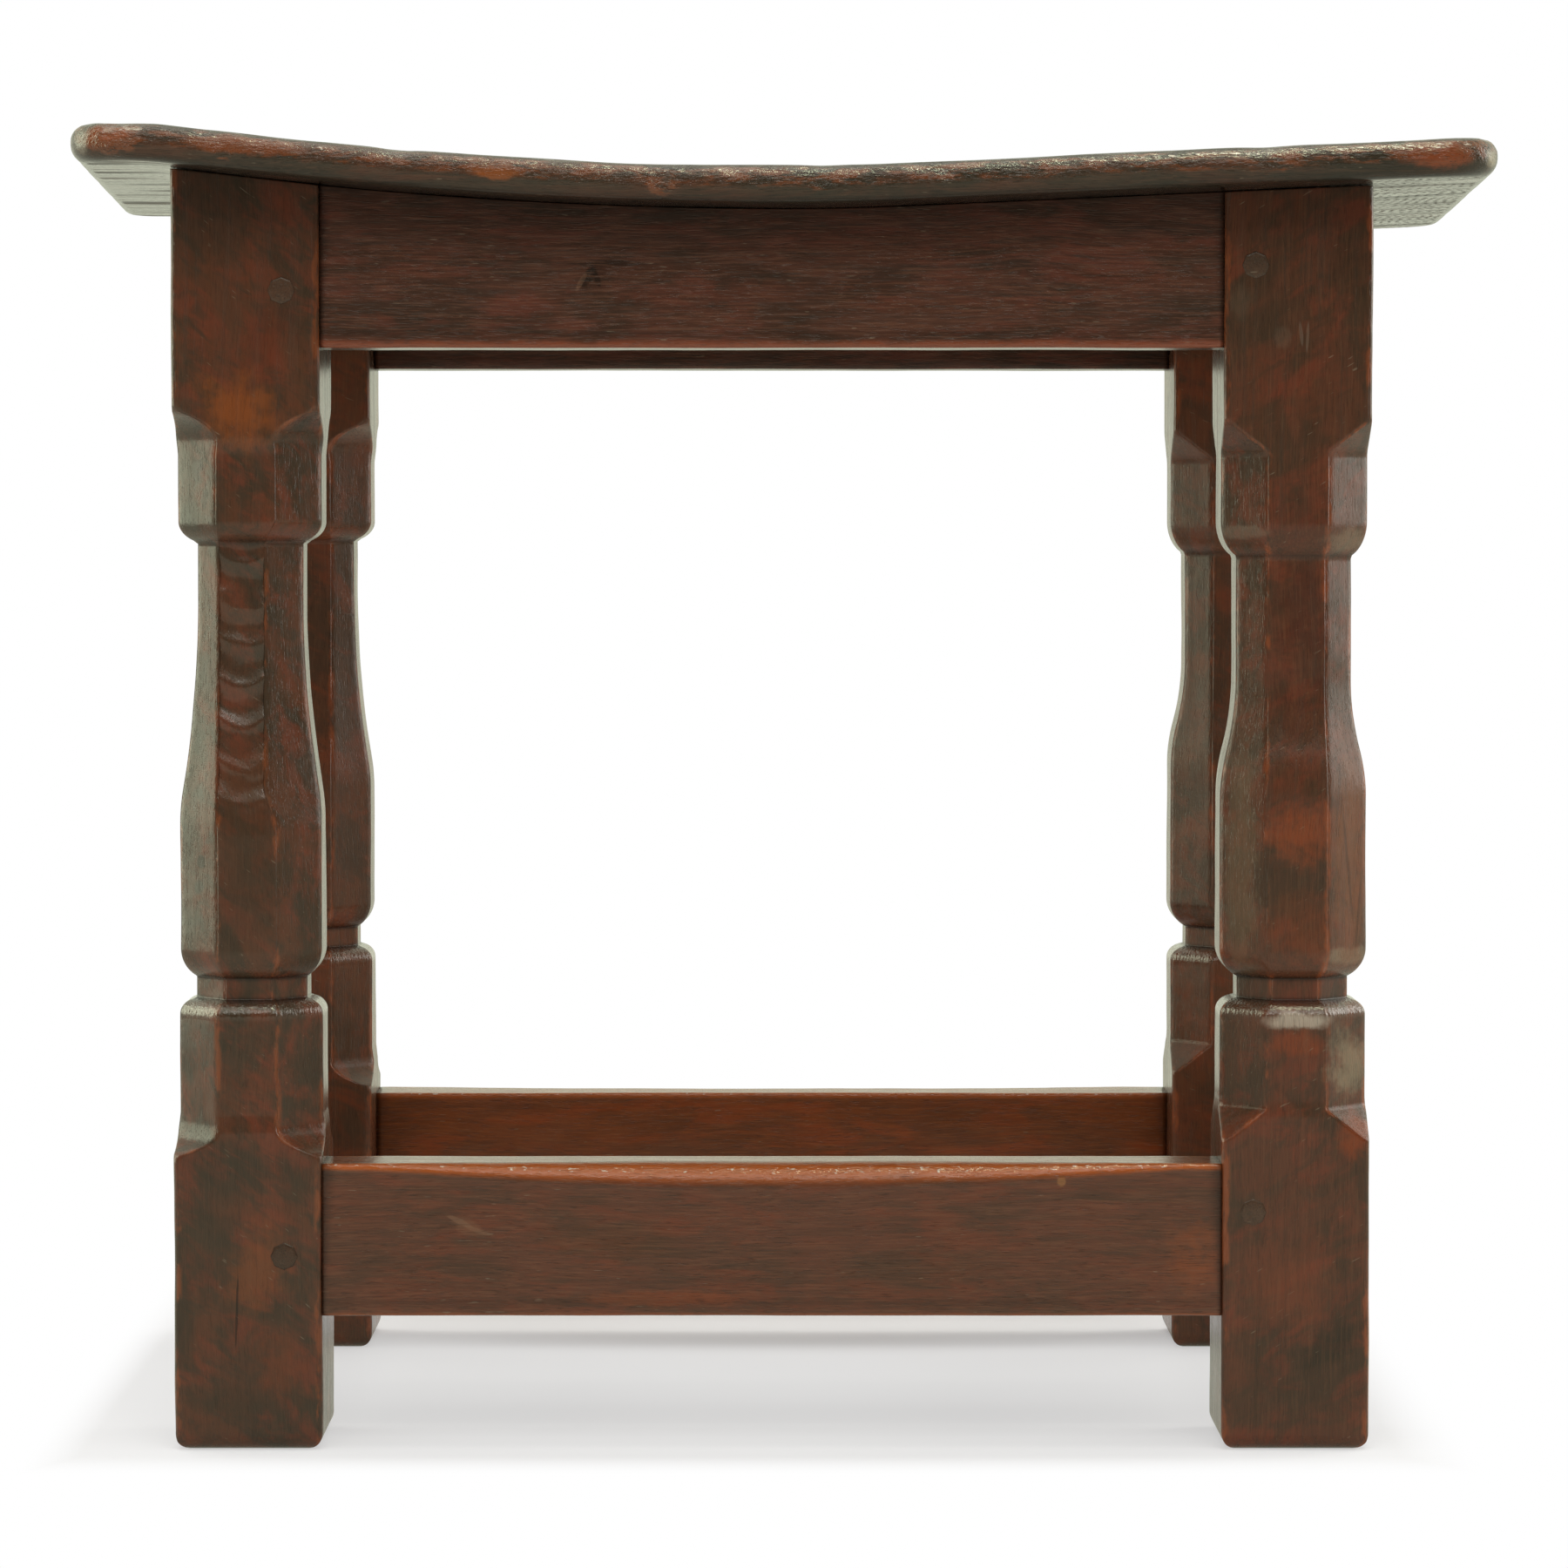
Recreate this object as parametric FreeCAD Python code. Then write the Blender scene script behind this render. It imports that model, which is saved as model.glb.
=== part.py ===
import FreeCAD, Part
import math
import os

# A joint stool in oak: a dished seat board on four octagonal baluster legs, which four rails and
# four stretchers join with pegged mortises and tenons.
# X runs along the seat, Y from the front to the back and Z up. The origin lies on the floor,
# under the middle of the seat board. All lengths are in millimetres.

# Leg frame, over the outer faces of the legs
frame_length = 379.4
frame_depth = 253.0
leg_width = 47.0
seat_shift = 3.85             # the board sits this far to the right of the frame's middle

# Seat board
seat_thickness = 12.2
seat_underside_height = 393.6  # at the lowest point of the dish
front_overhang = 25.0
back_overhang = 25.0
end_overhang_at_front = 32.85
end_overhang_at_back = 53.2   # the ends flare, so that the back edge is the longer one
front_corner_radius = 21.0
back_corner_radius = 14.0
top_nosing_radius = 5.2
bottom_nosing_radius = 5.8

# The dish. To the left an arc rises from the lowest point and a small one turns it level again,
# and to the right a tighter arc runs into a straight slope.
dish_low_offset = 2.0         # from the middle of the board to the lowest point
dish_left_radius = 1500.0
dish_left_run = 192.0         # from the lowest point to where the big arc ends
dish_end_radius = 120.0
dish_right_radius = 800.0
dish_right_slope = math.radians(2.55)

# Rails and stretchers
rail_height = 43.9            # below the lowest point of the seat's underside
rail_thickness = 22.0
rail_setback = 2.0            # from the outer face of the legs
stretcher_foot_gap = 42.8     # from the floor to the stretchers
stretcher_height = 48.5
back_stretcher_height = 46.1
stretcher_thickness = 22.0
stretcher_setback = 1.0
member_arris_radius = 1.2
stretcher_wear_depth = 3.2    # of the scoop that feet have worn in the upper outer arris
stretcher_wear_margin = 14.0  # of sound arris that is left at each end of the scoop

# Mortises and tenons
tenon_thickness = 10.0
tenon_inset = 7.0             # from the outer face of the legs to the tenon's outer cheek
tenon_length = 27.0
rail_tenon_haunch = 12.0      # kept clear of the leg's end grain, below the lowest seat line
tenon_edge_shoulder = 4.0
tenon_clearance = 0.1         # round each cheek and edge
mortise_end_gap = 1.0

# Pegs, which are shaved from riven oak and so have flats
peg_sides = 8
peg_diameter = 8.6            # over the corners of the flats
peg_length = 27.0
peg_point_length = 5.0
peg_point_diameter = 5.4
peg_head_rise = 0.4           # each peg stands this proud of its leg
peg_inset_first = 12.0        # from the shoulder of the joint to the peg's axis
peg_inset_second = 9.8
rail_peg_rise_first = 18.0    # above the rail's lower edge
rail_peg_rise_second = 26.0
stretcher_peg_rise_first = 19.2
stretcher_peg_rise_second = 33.2
seat_peg_diameter = 9.5
seat_peg_inset = 15.8         # from both inner faces of the leg
seat_peg_depth = 12.0         # in the leg, below the lowest seat line
peg_clearance = 0.05          # all round the peg

# Legs: lengths of the lower stages, from the stretchers upwards
foot_round = 5.5
arris_flat = 0.9              # taken off the square corners, along the diagonal
block_rise_left = 12.5        # from the stretchers to the line where the octagon starts
block_rise_right = 17.5
low_stop_length = 10.0
low_drum_rise = 46.5          # from the stretchers to the top of the lower drum
low_shoulder_height = 5.0
groove_height = 7.0
drum_shoulder_height = 9.0

# Legs: lengths measured downwards from the rails
cap_drop = 54.8               # to the cap's full width
cap_shoulder_left = 6.6
cap_shoulder_right = 11.0
cap_line_drop_left = 30.8     # to the line where the square head starts
cap_line_drop_right = 32.8
high_stop_left = 11.1
high_stop_right = 9.5

# Legs: the big drum and the flare above it, as shares of the height from the drum's lower edge to
# the cap; the neck takes the rest. The flare turns from bulging to hollow at its own share.
drum_height_share_left = 0.292
drum_height_share_right = 0.354
flare_height_share_left = 0.529
flare_height_share_right = 0.28
flare_turn_share_left = 0.15
flare_turn_share_right = 0.4

# Legs: widths across the flats; the neck's corners are cut less deep than a true octagon's
low_drum_width_left = 45.8
low_drum_width_right = 46.4
groove_width = 35.4
drum_width_left = 45.2
drum_width_right = 46.7
neck_width_left = 33.4
neck_width_right = 36.8
neck_corner_width_left = 36.6
neck_corner_width_right = 38.8
cap_width_left = 45.8
cap_width_right = 46.8

overrun = 20.0                # by which cutting shapes pass the material
touching = 0.001              # closer than this, two shapes count as touching
upright_share = 0.5           # of a unit tangent, above which an edge counts as upright
nosing_limit_share = 0.48     # of the board's thickness, for each nosing

# Heights and places that follow from the sizes above
frame_x = -seat_shift
block_base = stretcher_foot_gap + stretcher_height   # the legs' lower stages start from here
rail_bottom = seat_underside_height - rail_height
seat_front_y = -frame_depth / 2 - front_overhang
seat_back_y = frame_depth / 2 + back_overhang
front_half_length = frame_length / 2 + end_overhang_at_front
back_half_length = frame_length / 2 + end_overhang_at_back
sides = ("front", "back", "left", "right")
turns = {"front": 0, "back": 180, "left": -90, "right": 90}


# Outlines are drawn upright, as (across, height) pairs in the XZ plane
def point(across, height):
    return FreeCAD.Vector(across, 0, height)


def line(start, end):
    return Part.LineSegment(point(*start), point(*end)).toShape()


def upright_arc(start, end):
    # An arc that leaves its start upright and ends at the other point
    across = end[0] - start[0]
    up = end[1] - start[1]
    radius = (across ** 2 + up ** 2) / (2 * abs(across))
    side = math.copysign(1, across)
    half_turn = math.atan2(abs(up), radius - abs(across)) / 2
    middle = (start[0] + side * radius * (1 - math.cos(half_turn)),
              start[1] + math.copysign(radius * math.sin(half_turn), up))
    return Part.Arc(point(*start), point(*middle), point(*end)).toShape()


def ogee(start, end, turn_share):
    # Two arcs, upright at both ends and tangent where they meet, at a share of the way
    middle = tuple(a + (b - a) * turn_share for a, b in zip(start, end))
    return [upright_arc(start, middle), upright_arc(end, middle)]


def face_of(edges):
    return Part.Face(Part.Wire(Part.__sortEdges__(edges)))


def block(low, high):
    size = FreeCAD.Vector(*high) - FreeCAD.Vector(*low)
    return Part.makeBox(size.x, size.y, size.z, FreeCAD.Vector(*low))


def level_arc(level, side, rise, radius, turn):
    # An arc that starts level and turns up (rise 1) or down (rise -1) to the given side
    def along(angle):
        return (level[0] + side * radius * math.sin(angle),
                level[1] + rise * radius * (1 - math.cos(angle)))
    end = along(turn)
    arc = Part.Arc(point(*level), point(*along(turn / 2)), point(*end)).toShape()
    return arc, end


# The curve of the dish, which the seat board and everything under it share
def dish_line(low_height):
    reach = back_half_length + overrun
    low = (dish_low_offset, low_height)
    left_turn = math.asin(dish_left_run / dish_left_radius)
    left_arc, left_knee = level_arc(low, -1, 1, dish_left_radius, left_turn)
    shelf_start = (left_knee[0] - dish_end_radius * math.sin(left_turn),
                   left_knee[1] + dish_end_radius * (1 - math.cos(left_turn)))
    knee_arc = level_arc(shelf_start, 1, -1, dish_end_radius, left_turn)[0]
    left_end = (-reach, shelf_start[1])
    right_arc, slope_start = level_arc(low, 1, 1, dish_right_radius, dish_right_slope)
    right_rise = (reach - slope_start[0]) * math.tan(dish_right_slope)
    right_end = (reach, slope_start[1] + right_rise)
    edges = [line(left_end, shelf_start), knee_arc, left_arc, right_arc, line(slope_start, right_end)]
    return edges, left_end, right_end


def space_between(floor_height, low_height):
    # Everything above a level plane and below the dish line at the given height
    edges, left_end, right_end = dish_line(low_height)
    left_foot = (left_end[0], floor_height)
    right_foot = (right_end[0], floor_height)
    walls = [line(left_end, left_foot), line(left_foot, right_foot), line(right_foot, right_end)]
    space = face_of(edges + walls)
    deep = seat_back_y - seat_front_y + 2 * overrun
    space.translate(FreeCAD.Vector(0, seat_front_y - overrun, 0))
    return space.extrude(FreeCAD.Vector(0, deep, 0))


under_seat = space_between(-overrun, seat_underside_height)
under_seat_top = space_between(-overrun, seat_underside_height + seat_thickness)


# Places are worked out as seen from outside one side of the frame: u along the member from its
# middle, v inwards from the outer faces of the legs. This turns such a shape into its place.
def placed(shape, side):
    half = frame_depth / 2 if side in ("front", "back") else frame_length / 2
    shape = shape.copy()
    shape.translate(FreeCAD.Vector(0, -half, 0))
    shape.rotate(FreeCAD.Vector(0, 0, 0), FreeCAD.Vector(0, 0, 1), turns[side])
    shape.translate(FreeCAD.Vector(frame_x, 0, 0))
    return shape


def shoulder_at(side):
    # From the member's middle to its shoulders, which bear on the legs
    length = frame_length if side in ("front", "back") else frame_depth
    return length / 2 - leg_width


# Tenons, and the mortises that take them
def tenon_block(side, end, bottom, top, grow, extra):
    near = shoulder_at(side)
    far = near + tenon_length + extra
    cheeks = (tenon_inset - grow, tenon_inset + tenon_thickness + grow)
    along = sorted((end * near, end * far))
    low = (along[0], cheeks[0], bottom - grow)
    high = (along[1], cheeks[1], top + grow)
    return block(low, high)


def rail_tenon_span():
    return rail_bottom + tenon_edge_shoulder, seat_underside_height - rail_tenon_haunch


def stretcher_top_at(side):
    return stretcher_foot_gap + (back_stretcher_height if side == "back" else stretcher_height)


def stretcher_tenon_span(side):
    return stretcher_foot_gap + tenon_edge_shoulder, stretcher_top_at(side) - tenon_edge_shoulder


def mortises(side):
    spans = (rail_tenon_span(), stretcher_tenon_span(side))
    holes = []
    for bottom, top in spans:
        for end in (-1, 1):
            hole = tenon_block(side, end, bottom, top, tenon_clearance, mortise_end_gap)
            holes.append(placed(hole, side))
    return holes


# Pegs have flats, a pointed inner end and a head that stands a little proud. Their holes have the
# same flats, because an oak peg that is driven home beds into its hole.
def flats(radius, centre, axis):
    across = FreeCAD.Vector(1, 0, 0)
    up = axis.cross(across)
    corners = []
    for index in range(peg_sides):
        angle = 2 * math.pi * (index + 0.5) / peg_sides
        corners.append(centre + across * (radius * math.cos(angle)) + up * (radius * math.sin(angle)))
    return Part.makePolygon(corners + corners[:1])


def flat_sided_rod(radius, start, axis, length):
    return Part.Face(flats(radius, start, axis)).extrude(axis * length)


def peg_places(side, first_height, second_height):
    shoulder = shoulder_at(side)
    return ((-shoulder - peg_inset_first, first_height), (shoulder + peg_inset_second, second_height))


def joint_peg(along, height):
    inwards = FreeCAD.Vector(0, 1, 0)
    stations = ((-peg_head_rise, peg_diameter), (peg_length - peg_point_length, peg_diameter),
                (peg_length, peg_point_diameter))
    sections = [flats(diameter / 2, FreeCAD.Vector(along, depth, height), inwards)
                for depth, diameter in stations]
    return Part.makeLoft(sections, True, True)


def peg_hole(along, height):
    start = FreeCAD.Vector(along, -overrun, height)
    depth = overrun + peg_length + peg_clearance
    return flat_sided_rod(peg_diameter / 2 + peg_clearance, start, FreeCAD.Vector(0, 1, 0), depth)


def rail_peg_places(side):
    return peg_places(side, rail_bottom + rail_peg_rise_first, rail_bottom + rail_peg_rise_second)


def stretcher_peg_places(side):
    first = stretcher_foot_gap + stretcher_peg_rise_first
    return peg_places(side, first, stretcher_foot_gap + stretcher_peg_rise_second)


def peg_group(side, places):
    return Part.makeCompound([placed(joint_peg(*place), side) for place in places])


def seat_peg_centres():
    across = shoulder_at("front") + seat_peg_inset
    deep = shoulder_at("left") + seat_peg_inset
    return [(frame_x + x * across, y * deep) for x in (-1, 1) for y in (-1, 1)]


def seat_peg_shaft(x, y, radius):
    foot = FreeCAD.Vector(x, y, seat_underside_height - seat_peg_depth)
    tall = seat_peg_depth + seat_thickness + 2 * overrun
    return flat_sided_rod(radius, foot, FreeCAD.Vector(0, 0, 1), tall)


def seat_pegs():
    pegs = []
    for x, y in seat_peg_centres():
        shaft = seat_peg_shaft(x, y, seat_peg_diameter / 2)
        pegs.append(shaft.common(under_seat_top))
    return Part.makeCompound(pegs)


# A rail or stretcher between its shoulders, seen from outside its side of the frame
def member_body(side, bottom, top, setback, thickness):
    half = shoulder_at(side)
    body = block((-half, setback, bottom), (half, setback + thickness, top))
    lower = [e for e in body.Edges if abs(e.CenterOfMass.x) < half / 2 and e.BoundBox.ZMax < top]
    return body.makeFillet(member_arris_radius, lower)


def with_tenons(body, side, span, holes):
    for end in (-1, 1):
        body = body.fuse(tenon_block(side, end, span[0], span[1], 0, 0))
    for hole in holes:
        body = body.cut(peg_hole(*hole))
    return body.removeSplitter()


def rail(side):
    tall = rail_height + overrun + leg_width
    body = member_body(side, rail_bottom, rail_bottom + tall, rail_setback, rail_thickness)
    body = with_tenons(body, side, rail_tenon_span(), rail_peg_places(side))
    return placed(body, side).common(under_seat)


# The scoop worn in a stretcher's upper outer arris: a long shallow arc, deepest half-way along,
# which is swept across the arris at 45 degrees
def wear_scoop(side):
    half = shoulder_at(side) - stretcher_wear_margin
    top = (0, -stretcher_wear_depth)
    chord = [(-half, 0), (half, 0)]
    arc = Part.Arc(point(*chord[0]), point(*top), point(*chord[1])).toShape()
    rims = [(-half, overrun), (half, overrun)]
    walls = [line(chord[0], rims[0]), line(rims[0], rims[1]), line(rims[1], chord[1])]
    scoop = face_of([arc] + walls)
    scoop.translate(FreeCAD.Vector(0, -overrun, 0))
    scoop = scoop.extrude(FreeCAD.Vector(0, 2 * overrun, 0))
    scoop.rotate(FreeCAD.Vector(0, 0, 0), FreeCAD.Vector(1, 0, 0), 45)
    scoop.translate(FreeCAD.Vector(0, stretcher_setback, stretcher_top_at(side)))
    return scoop


def stretcher(side):
    top = stretcher_top_at(side)
    body = member_body(side, stretcher_foot_gap, top, stretcher_setback, stretcher_thickness)
    body = body.cut(wear_scoop(side))
    body = with_tenons(body, side, stretcher_tenon_span(side), stretcher_peg_places(side))
    return placed(body, side)


# Legs. Each is what four upright extrusions have in common: the outline across the flats, seen
# from the front and from the side, and the outline across the corners, seen along both
# diagonals. The facets then meet in true mitres, and the chamfers stop where they should.
def leg_halves(right_hand, corner):
    # Half widths of the low drum, big drum, neck and cap, across the flats or the corners
    if right_hand:
        neck = neck_corner_width_right if corner else neck_width_right
        widths = (low_drum_width_right, drum_width_right, neck, cap_width_right)
    else:
        neck = neck_corner_width_left if corner else neck_width_left
        widths = (low_drum_width_left, drum_width_left, neck, cap_width_left)
    return [width / 2 for width in widths]


def block_line(right_hand):
    return block_base + (block_rise_right if right_hand else block_rise_left)


def cap_line(right_hand):
    return rail_bottom - (cap_line_drop_right if right_hand else cap_line_drop_left)


def baluster_edges(right_hand, corner):
    low_drum, drum, neck, cap = leg_halves(right_hand, corner)
    groove = groove_width / 2
    low_drum_top = block_base + low_drum_rise
    groove_bottom = low_drum_top + low_shoulder_height
    groove_top = groove_bottom + groove_height
    drum_bottom = groove_top + drum_shoulder_height
    full_width_cap = rail_bottom - cap_drop
    shaft = full_width_cap - drum_bottom
    if right_hand:
        drum_top = drum_bottom + shaft * drum_height_share_right
        neck_bottom = drum_top + shaft * flare_height_share_right
        flare = ogee((drum, drum_top), (neck, neck_bottom), flare_turn_share_right)
        neck_top = full_width_cap - cap_shoulder_right
    else:
        drum_top = drum_bottom + shaft * drum_height_share_left
        neck_bottom = drum_top + shaft * flare_height_share_left
        flare = ogee((drum, drum_top), (neck, neck_bottom), flare_turn_share_left)
        neck_top = full_width_cap - cap_shoulder_left
    edges = [line((low_drum, block_line(right_hand)), (low_drum, low_drum_top)),
             upright_arc((low_drum, low_drum_top), (groove, groove_bottom)),
             line((groove, groove_bottom), (groove, groove_top)),
             upright_arc((drum, drum_bottom), (groove, groove_top)),
             line((drum, drum_bottom), (drum, drum_top))]
    edges += flare
    edges += [line((neck, neck_bottom), (neck, neck_top)),
              upright_arc((cap, full_width_cap), (neck, neck_top)),
              line((cap, full_width_cap), (cap, cap_line(right_hand)))]
    return edges


def half_outline(right_hand, corner, leg_top):
    # The outer edge of the leg from the floor to its top, across the flats or the corners
    edges = baluster_edges(right_hand, corner)
    low_drum_half, _, _, cap_half = leg_halves(right_hand, corner)
    low_drum = (low_drum_half, block_line(right_hand))
    cap = (cap_half, cap_line(right_hand))
    half = leg_width / 2
    if not corner:
        edges += [upright_arc((half, foot_round), (half - foot_round, 0)),
                  line((half, foot_round), (half, low_drum[1])),
                  line((half, low_drum[1]), low_drum),
                  line(cap, (half, cap[1])),
                  line((half, cap[1]), (half, leg_top))]
        return edges, half - foot_round, half
    reach = half * math.sqrt(2) - arris_flat
    low_stop = (reach, low_drum[1] - low_stop_length)
    high_stop = (reach, cap[1] + (high_stop_right if right_hand else high_stop_left))
    if right_hand:
        edges += [line(low_stop, low_drum), line(cap, high_stop)]
    else:
        edges += [upright_arc(low_drum, low_stop), upright_arc(cap, high_stop)]
    edges += [line((reach, 0), low_stop), line(high_stop, (reach, leg_top))]
    return edges, reach, reach


def leg_prism(right_hand, corner, turn):
    leg_top = seat_underside_height + leg_width
    half, foot, head = half_outline(right_hand, corner, leg_top)
    origin = FreeCAD.Vector(0, 0, 0)
    other_half = [edge.mirror(origin, FreeCAD.Vector(1, 0, 0)) for edge in half]
    ends = [line((-foot, 0), (foot, 0)), line((-head, leg_top), (head, leg_top))]
    prism = face_of(half + other_half + ends)
    prism.translate(FreeCAD.Vector(0, -leg_width, 0))
    prism = prism.extrude(FreeCAD.Vector(0, 2 * leg_width, 0))
    prism.rotate(origin, FreeCAD.Vector(0, 0, 1), turn)
    return prism


def leg_blank(right_hand):
    blank = leg_prism(right_hand, False, 0).common(leg_prism(right_hand, False, 90))
    for turn in (45, 135):
        blank = blank.common(leg_prism(right_hand, True, turn))
    return blank


def leg(blank, x_side, y_side, cutters):
    x = frame_x + x_side * (frame_length - leg_width) / 2
    y = y_side * (frame_depth - leg_width) / 2
    post = blank.copy()
    post.translate(FreeCAD.Vector(x, y, 0))
    post = post.common(under_seat)
    for cutter in cutters:
        if cutter.BoundBox.intersect(post.BoundBox):
            post = post.cut(cutter)
    return post


def legs():
    cutters = []
    for side in sides:
        cutters += mortises(side)
        for place in rail_peg_places(side) + stretcher_peg_places(side):
            cutters.append(placed(peg_hole(*place), side))
    for x, y in seat_peg_centres():
        cutters.append(seat_peg_shaft(x, y, seat_peg_diameter / 2 + peg_clearance))
    made = {}
    for x_name, x_side in (("left", -1), ("right", 1)):
        blank = leg_blank(x_side > 0)
        for y_name, y_side in (("front", -1), ("back", 1)):
            made["leg_" + y_name + "_" + x_name] = leg(blank, x_side, y_side, cutters)
    return made


# The seat board: a flaring outline with round corners, cut from a slab with the dish's curve
def seat_outline():
    def at(x, y):
        return FreeCAD.Vector(x, y, 0)
    corners = [at(-front_half_length, seat_front_y), at(front_half_length, seat_front_y),
               at(back_half_length, seat_back_y), at(-back_half_length, seat_back_y)]
    radii = [front_corner_radius, front_corner_radius, back_corner_radius, back_corner_radius]
    edges = []
    starts = []
    ends = []
    for index, corner in enumerate(corners):
        before = (corners[index - 1] - corner).normalize()
        after = (corners[(index + 1) % len(corners)] - corner).normalize()
        half_angle = before.getAngle(after) / 2
        setback = radii[index] / math.tan(half_angle)
        middle_way = (before + after).normalize()
        centre = corner + middle_way * (radii[index] / math.sin(half_angle))
        start = corner + before * setback
        end = corner + after * setback
        middle = centre - middle_way * radii[index]
        edges.append(Part.Arc(start, middle, end).toShape())
        starts.append(start)
        ends.append(end)
    for index, end in enumerate(ends):
        edges.append(Part.LineSegment(end, starts[(index + 1) % len(starts)]).toShape())
    return face_of(edges)


def rim_edges(board, walls, at_bottom):
    # The edges that go round the board, in its upper or in its lower face
    found = []
    for edge in board.Edges:
        parameter = (edge.FirstParameter + edge.LastParameter) / 2
        middle = Part.Vertex(edge.valueAt(parameter))
        on_wall = middle.distToShape(walls)[0] < touching
        upright = abs(edge.tangentAt(parameter).z) > upright_share
        if on_wall and not upright:
            if (middle.distToShape(under_seat)[0] < touching) == at_bottom:
                found.append(edge)
    return found


def seat_board():
    tall = seat_underside_height + seat_thickness + leg_width + overrun
    outline = seat_outline()
    walls = outline.OuterWire.extrude(FreeCAD.Vector(0, 0, tall))
    board = outline.extrude(FreeCAD.Vector(0, 0, tall))
    board = board.common(under_seat_top).cut(under_seat)
    widest = seat_thickness * nosing_limit_share
    for at_bottom, radius in ((False, top_nosing_radius), (True, bottom_nosing_radius)):
        board = board.makeFillet(min(radius, widest), rim_edges(board, walls, at_bottom))
    for x, y in seat_peg_centres():
        board = board.cut(seat_peg_shaft(x, y, seat_peg_diameter / 2 + peg_clearance))
    return board


def save(name, shape):
    shape.exportStep(os.path.join("parts", name + ".step"))
    print(name, len(shape.Solids), "solid(s),", round(shape.Volume / 1000, 1), "cm3, valid:", shape.isValid())


def main():
    os.makedirs("parts", exist_ok=True)
    save("seat_board", seat_board())
    for name, shape in legs().items():
        save(name, shape)
    for side in sides:
        save("rail_" + side, rail(side))
        save("stretcher_" + side, stretcher(side))
        save("rail_pegs_" + side, peg_group(side, rail_peg_places(side)))
        save("stretcher_pegs_" + side, peg_group(side, stretcher_peg_places(side)))
    save("seat_pegs", seat_pegs())


main()
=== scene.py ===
import math
from functools import partial

import bpy
import numpy as np
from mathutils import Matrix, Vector, noise


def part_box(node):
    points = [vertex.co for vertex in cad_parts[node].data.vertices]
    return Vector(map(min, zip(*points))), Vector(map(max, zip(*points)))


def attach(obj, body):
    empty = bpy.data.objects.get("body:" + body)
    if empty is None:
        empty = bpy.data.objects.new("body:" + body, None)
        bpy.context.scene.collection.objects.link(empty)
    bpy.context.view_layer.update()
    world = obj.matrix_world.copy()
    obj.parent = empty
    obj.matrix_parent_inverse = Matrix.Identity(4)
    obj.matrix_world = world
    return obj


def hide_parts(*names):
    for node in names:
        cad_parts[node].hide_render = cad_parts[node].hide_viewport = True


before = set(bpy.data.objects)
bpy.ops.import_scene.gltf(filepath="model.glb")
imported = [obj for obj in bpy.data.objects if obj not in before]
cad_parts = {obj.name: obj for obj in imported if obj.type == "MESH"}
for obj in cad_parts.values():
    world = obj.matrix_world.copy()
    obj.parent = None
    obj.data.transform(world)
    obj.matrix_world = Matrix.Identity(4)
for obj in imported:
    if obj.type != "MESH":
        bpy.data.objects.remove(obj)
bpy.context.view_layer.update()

# Joint stool in dark waxed oak. Blender works in metres, the sizes written here are millimetres.
mm = 0.001
scene = bpy.context.scene
scene.view_settings.view_transform = "Standard"


def addNode(tree, kind, inputs=(), **settings):
    # One node with its settings. A kind without "Node" in it is a shader's, and a word after it is the
    # operation. An input is a node (its first output), a socket or a value.
    kind, _, operation = kind.partition(" ")
    node = tree.nodes.new(kind if "Node" in kind else "ShaderNode" + kind)
    if operation:
        node.operation = operation
    for key, value in settings.items():
        setattr(node, key, value)
    pairs = inputs.items() if isinstance(inputs, dict) else enumerate(inputs)
    for key, value in pairs:
        if isinstance(value, bpy.types.Node):
            value = value.outputs[0]
        if isinstance(value, bpy.types.NodeSocket):
            tree.links.new(value, node.inputs[key])
        elif value is not None:
            node.inputs[key].default_value = value
    return node


def fromHex(code):
    # sRGB hex to the linear colour that the shaders take
    channels = [int(code[i:i + 2], 16) / 255 for i in (1, 3, 5)]
    return tuple(c / 12.92 if c <= 0.04045 else ((c + 0.055) / 1.055) ** 2.4 for c in channels) + (1.0,)


def newMaterial(name):
    # An empty material, with its tree and the function that adds to it
    material = bpy.data.materials.new(name)
    material.use_nodes = True
    material.node_tree.nodes.clear()
    return material, partial(addNode, material.node_tree)


# Old oak, stained dark and waxed for a long time. The stain lies in olive and red clouds, the wax keeps a
# soft shine, and hands and feet have rubbed the edges back to a redder wood.
oakGrain = {
    "drift": 90.0,            # the grain wanders over this length
    "driftWidth": 7.0,        # and by this much
    "fibreRise": 0.018, "poreDepth": 0.035, "poreLevels": (0.58, 0.68), "dimpleRise": 0.12,
    "chipDepth": 0.42, "scratchDepth": 0.4,
    "markBlur": 7.0, "markDrift": 22.0,   # outlines of stains wander
    "markSoft": 8.0,          # a stain of this radius has the softest outline
    "markLevels": [(1.1, 0.25), (0.8, -0.55)],   # where it ends and is full, and what softness adds
    "shineLevels": (0.3, 0.7),
    "satin": 0.2,             # more roughness where a seat has been sat dull
    "index": 1.45, "gloss": 0.28, "waxRoughness": 0.08,
}
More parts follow.
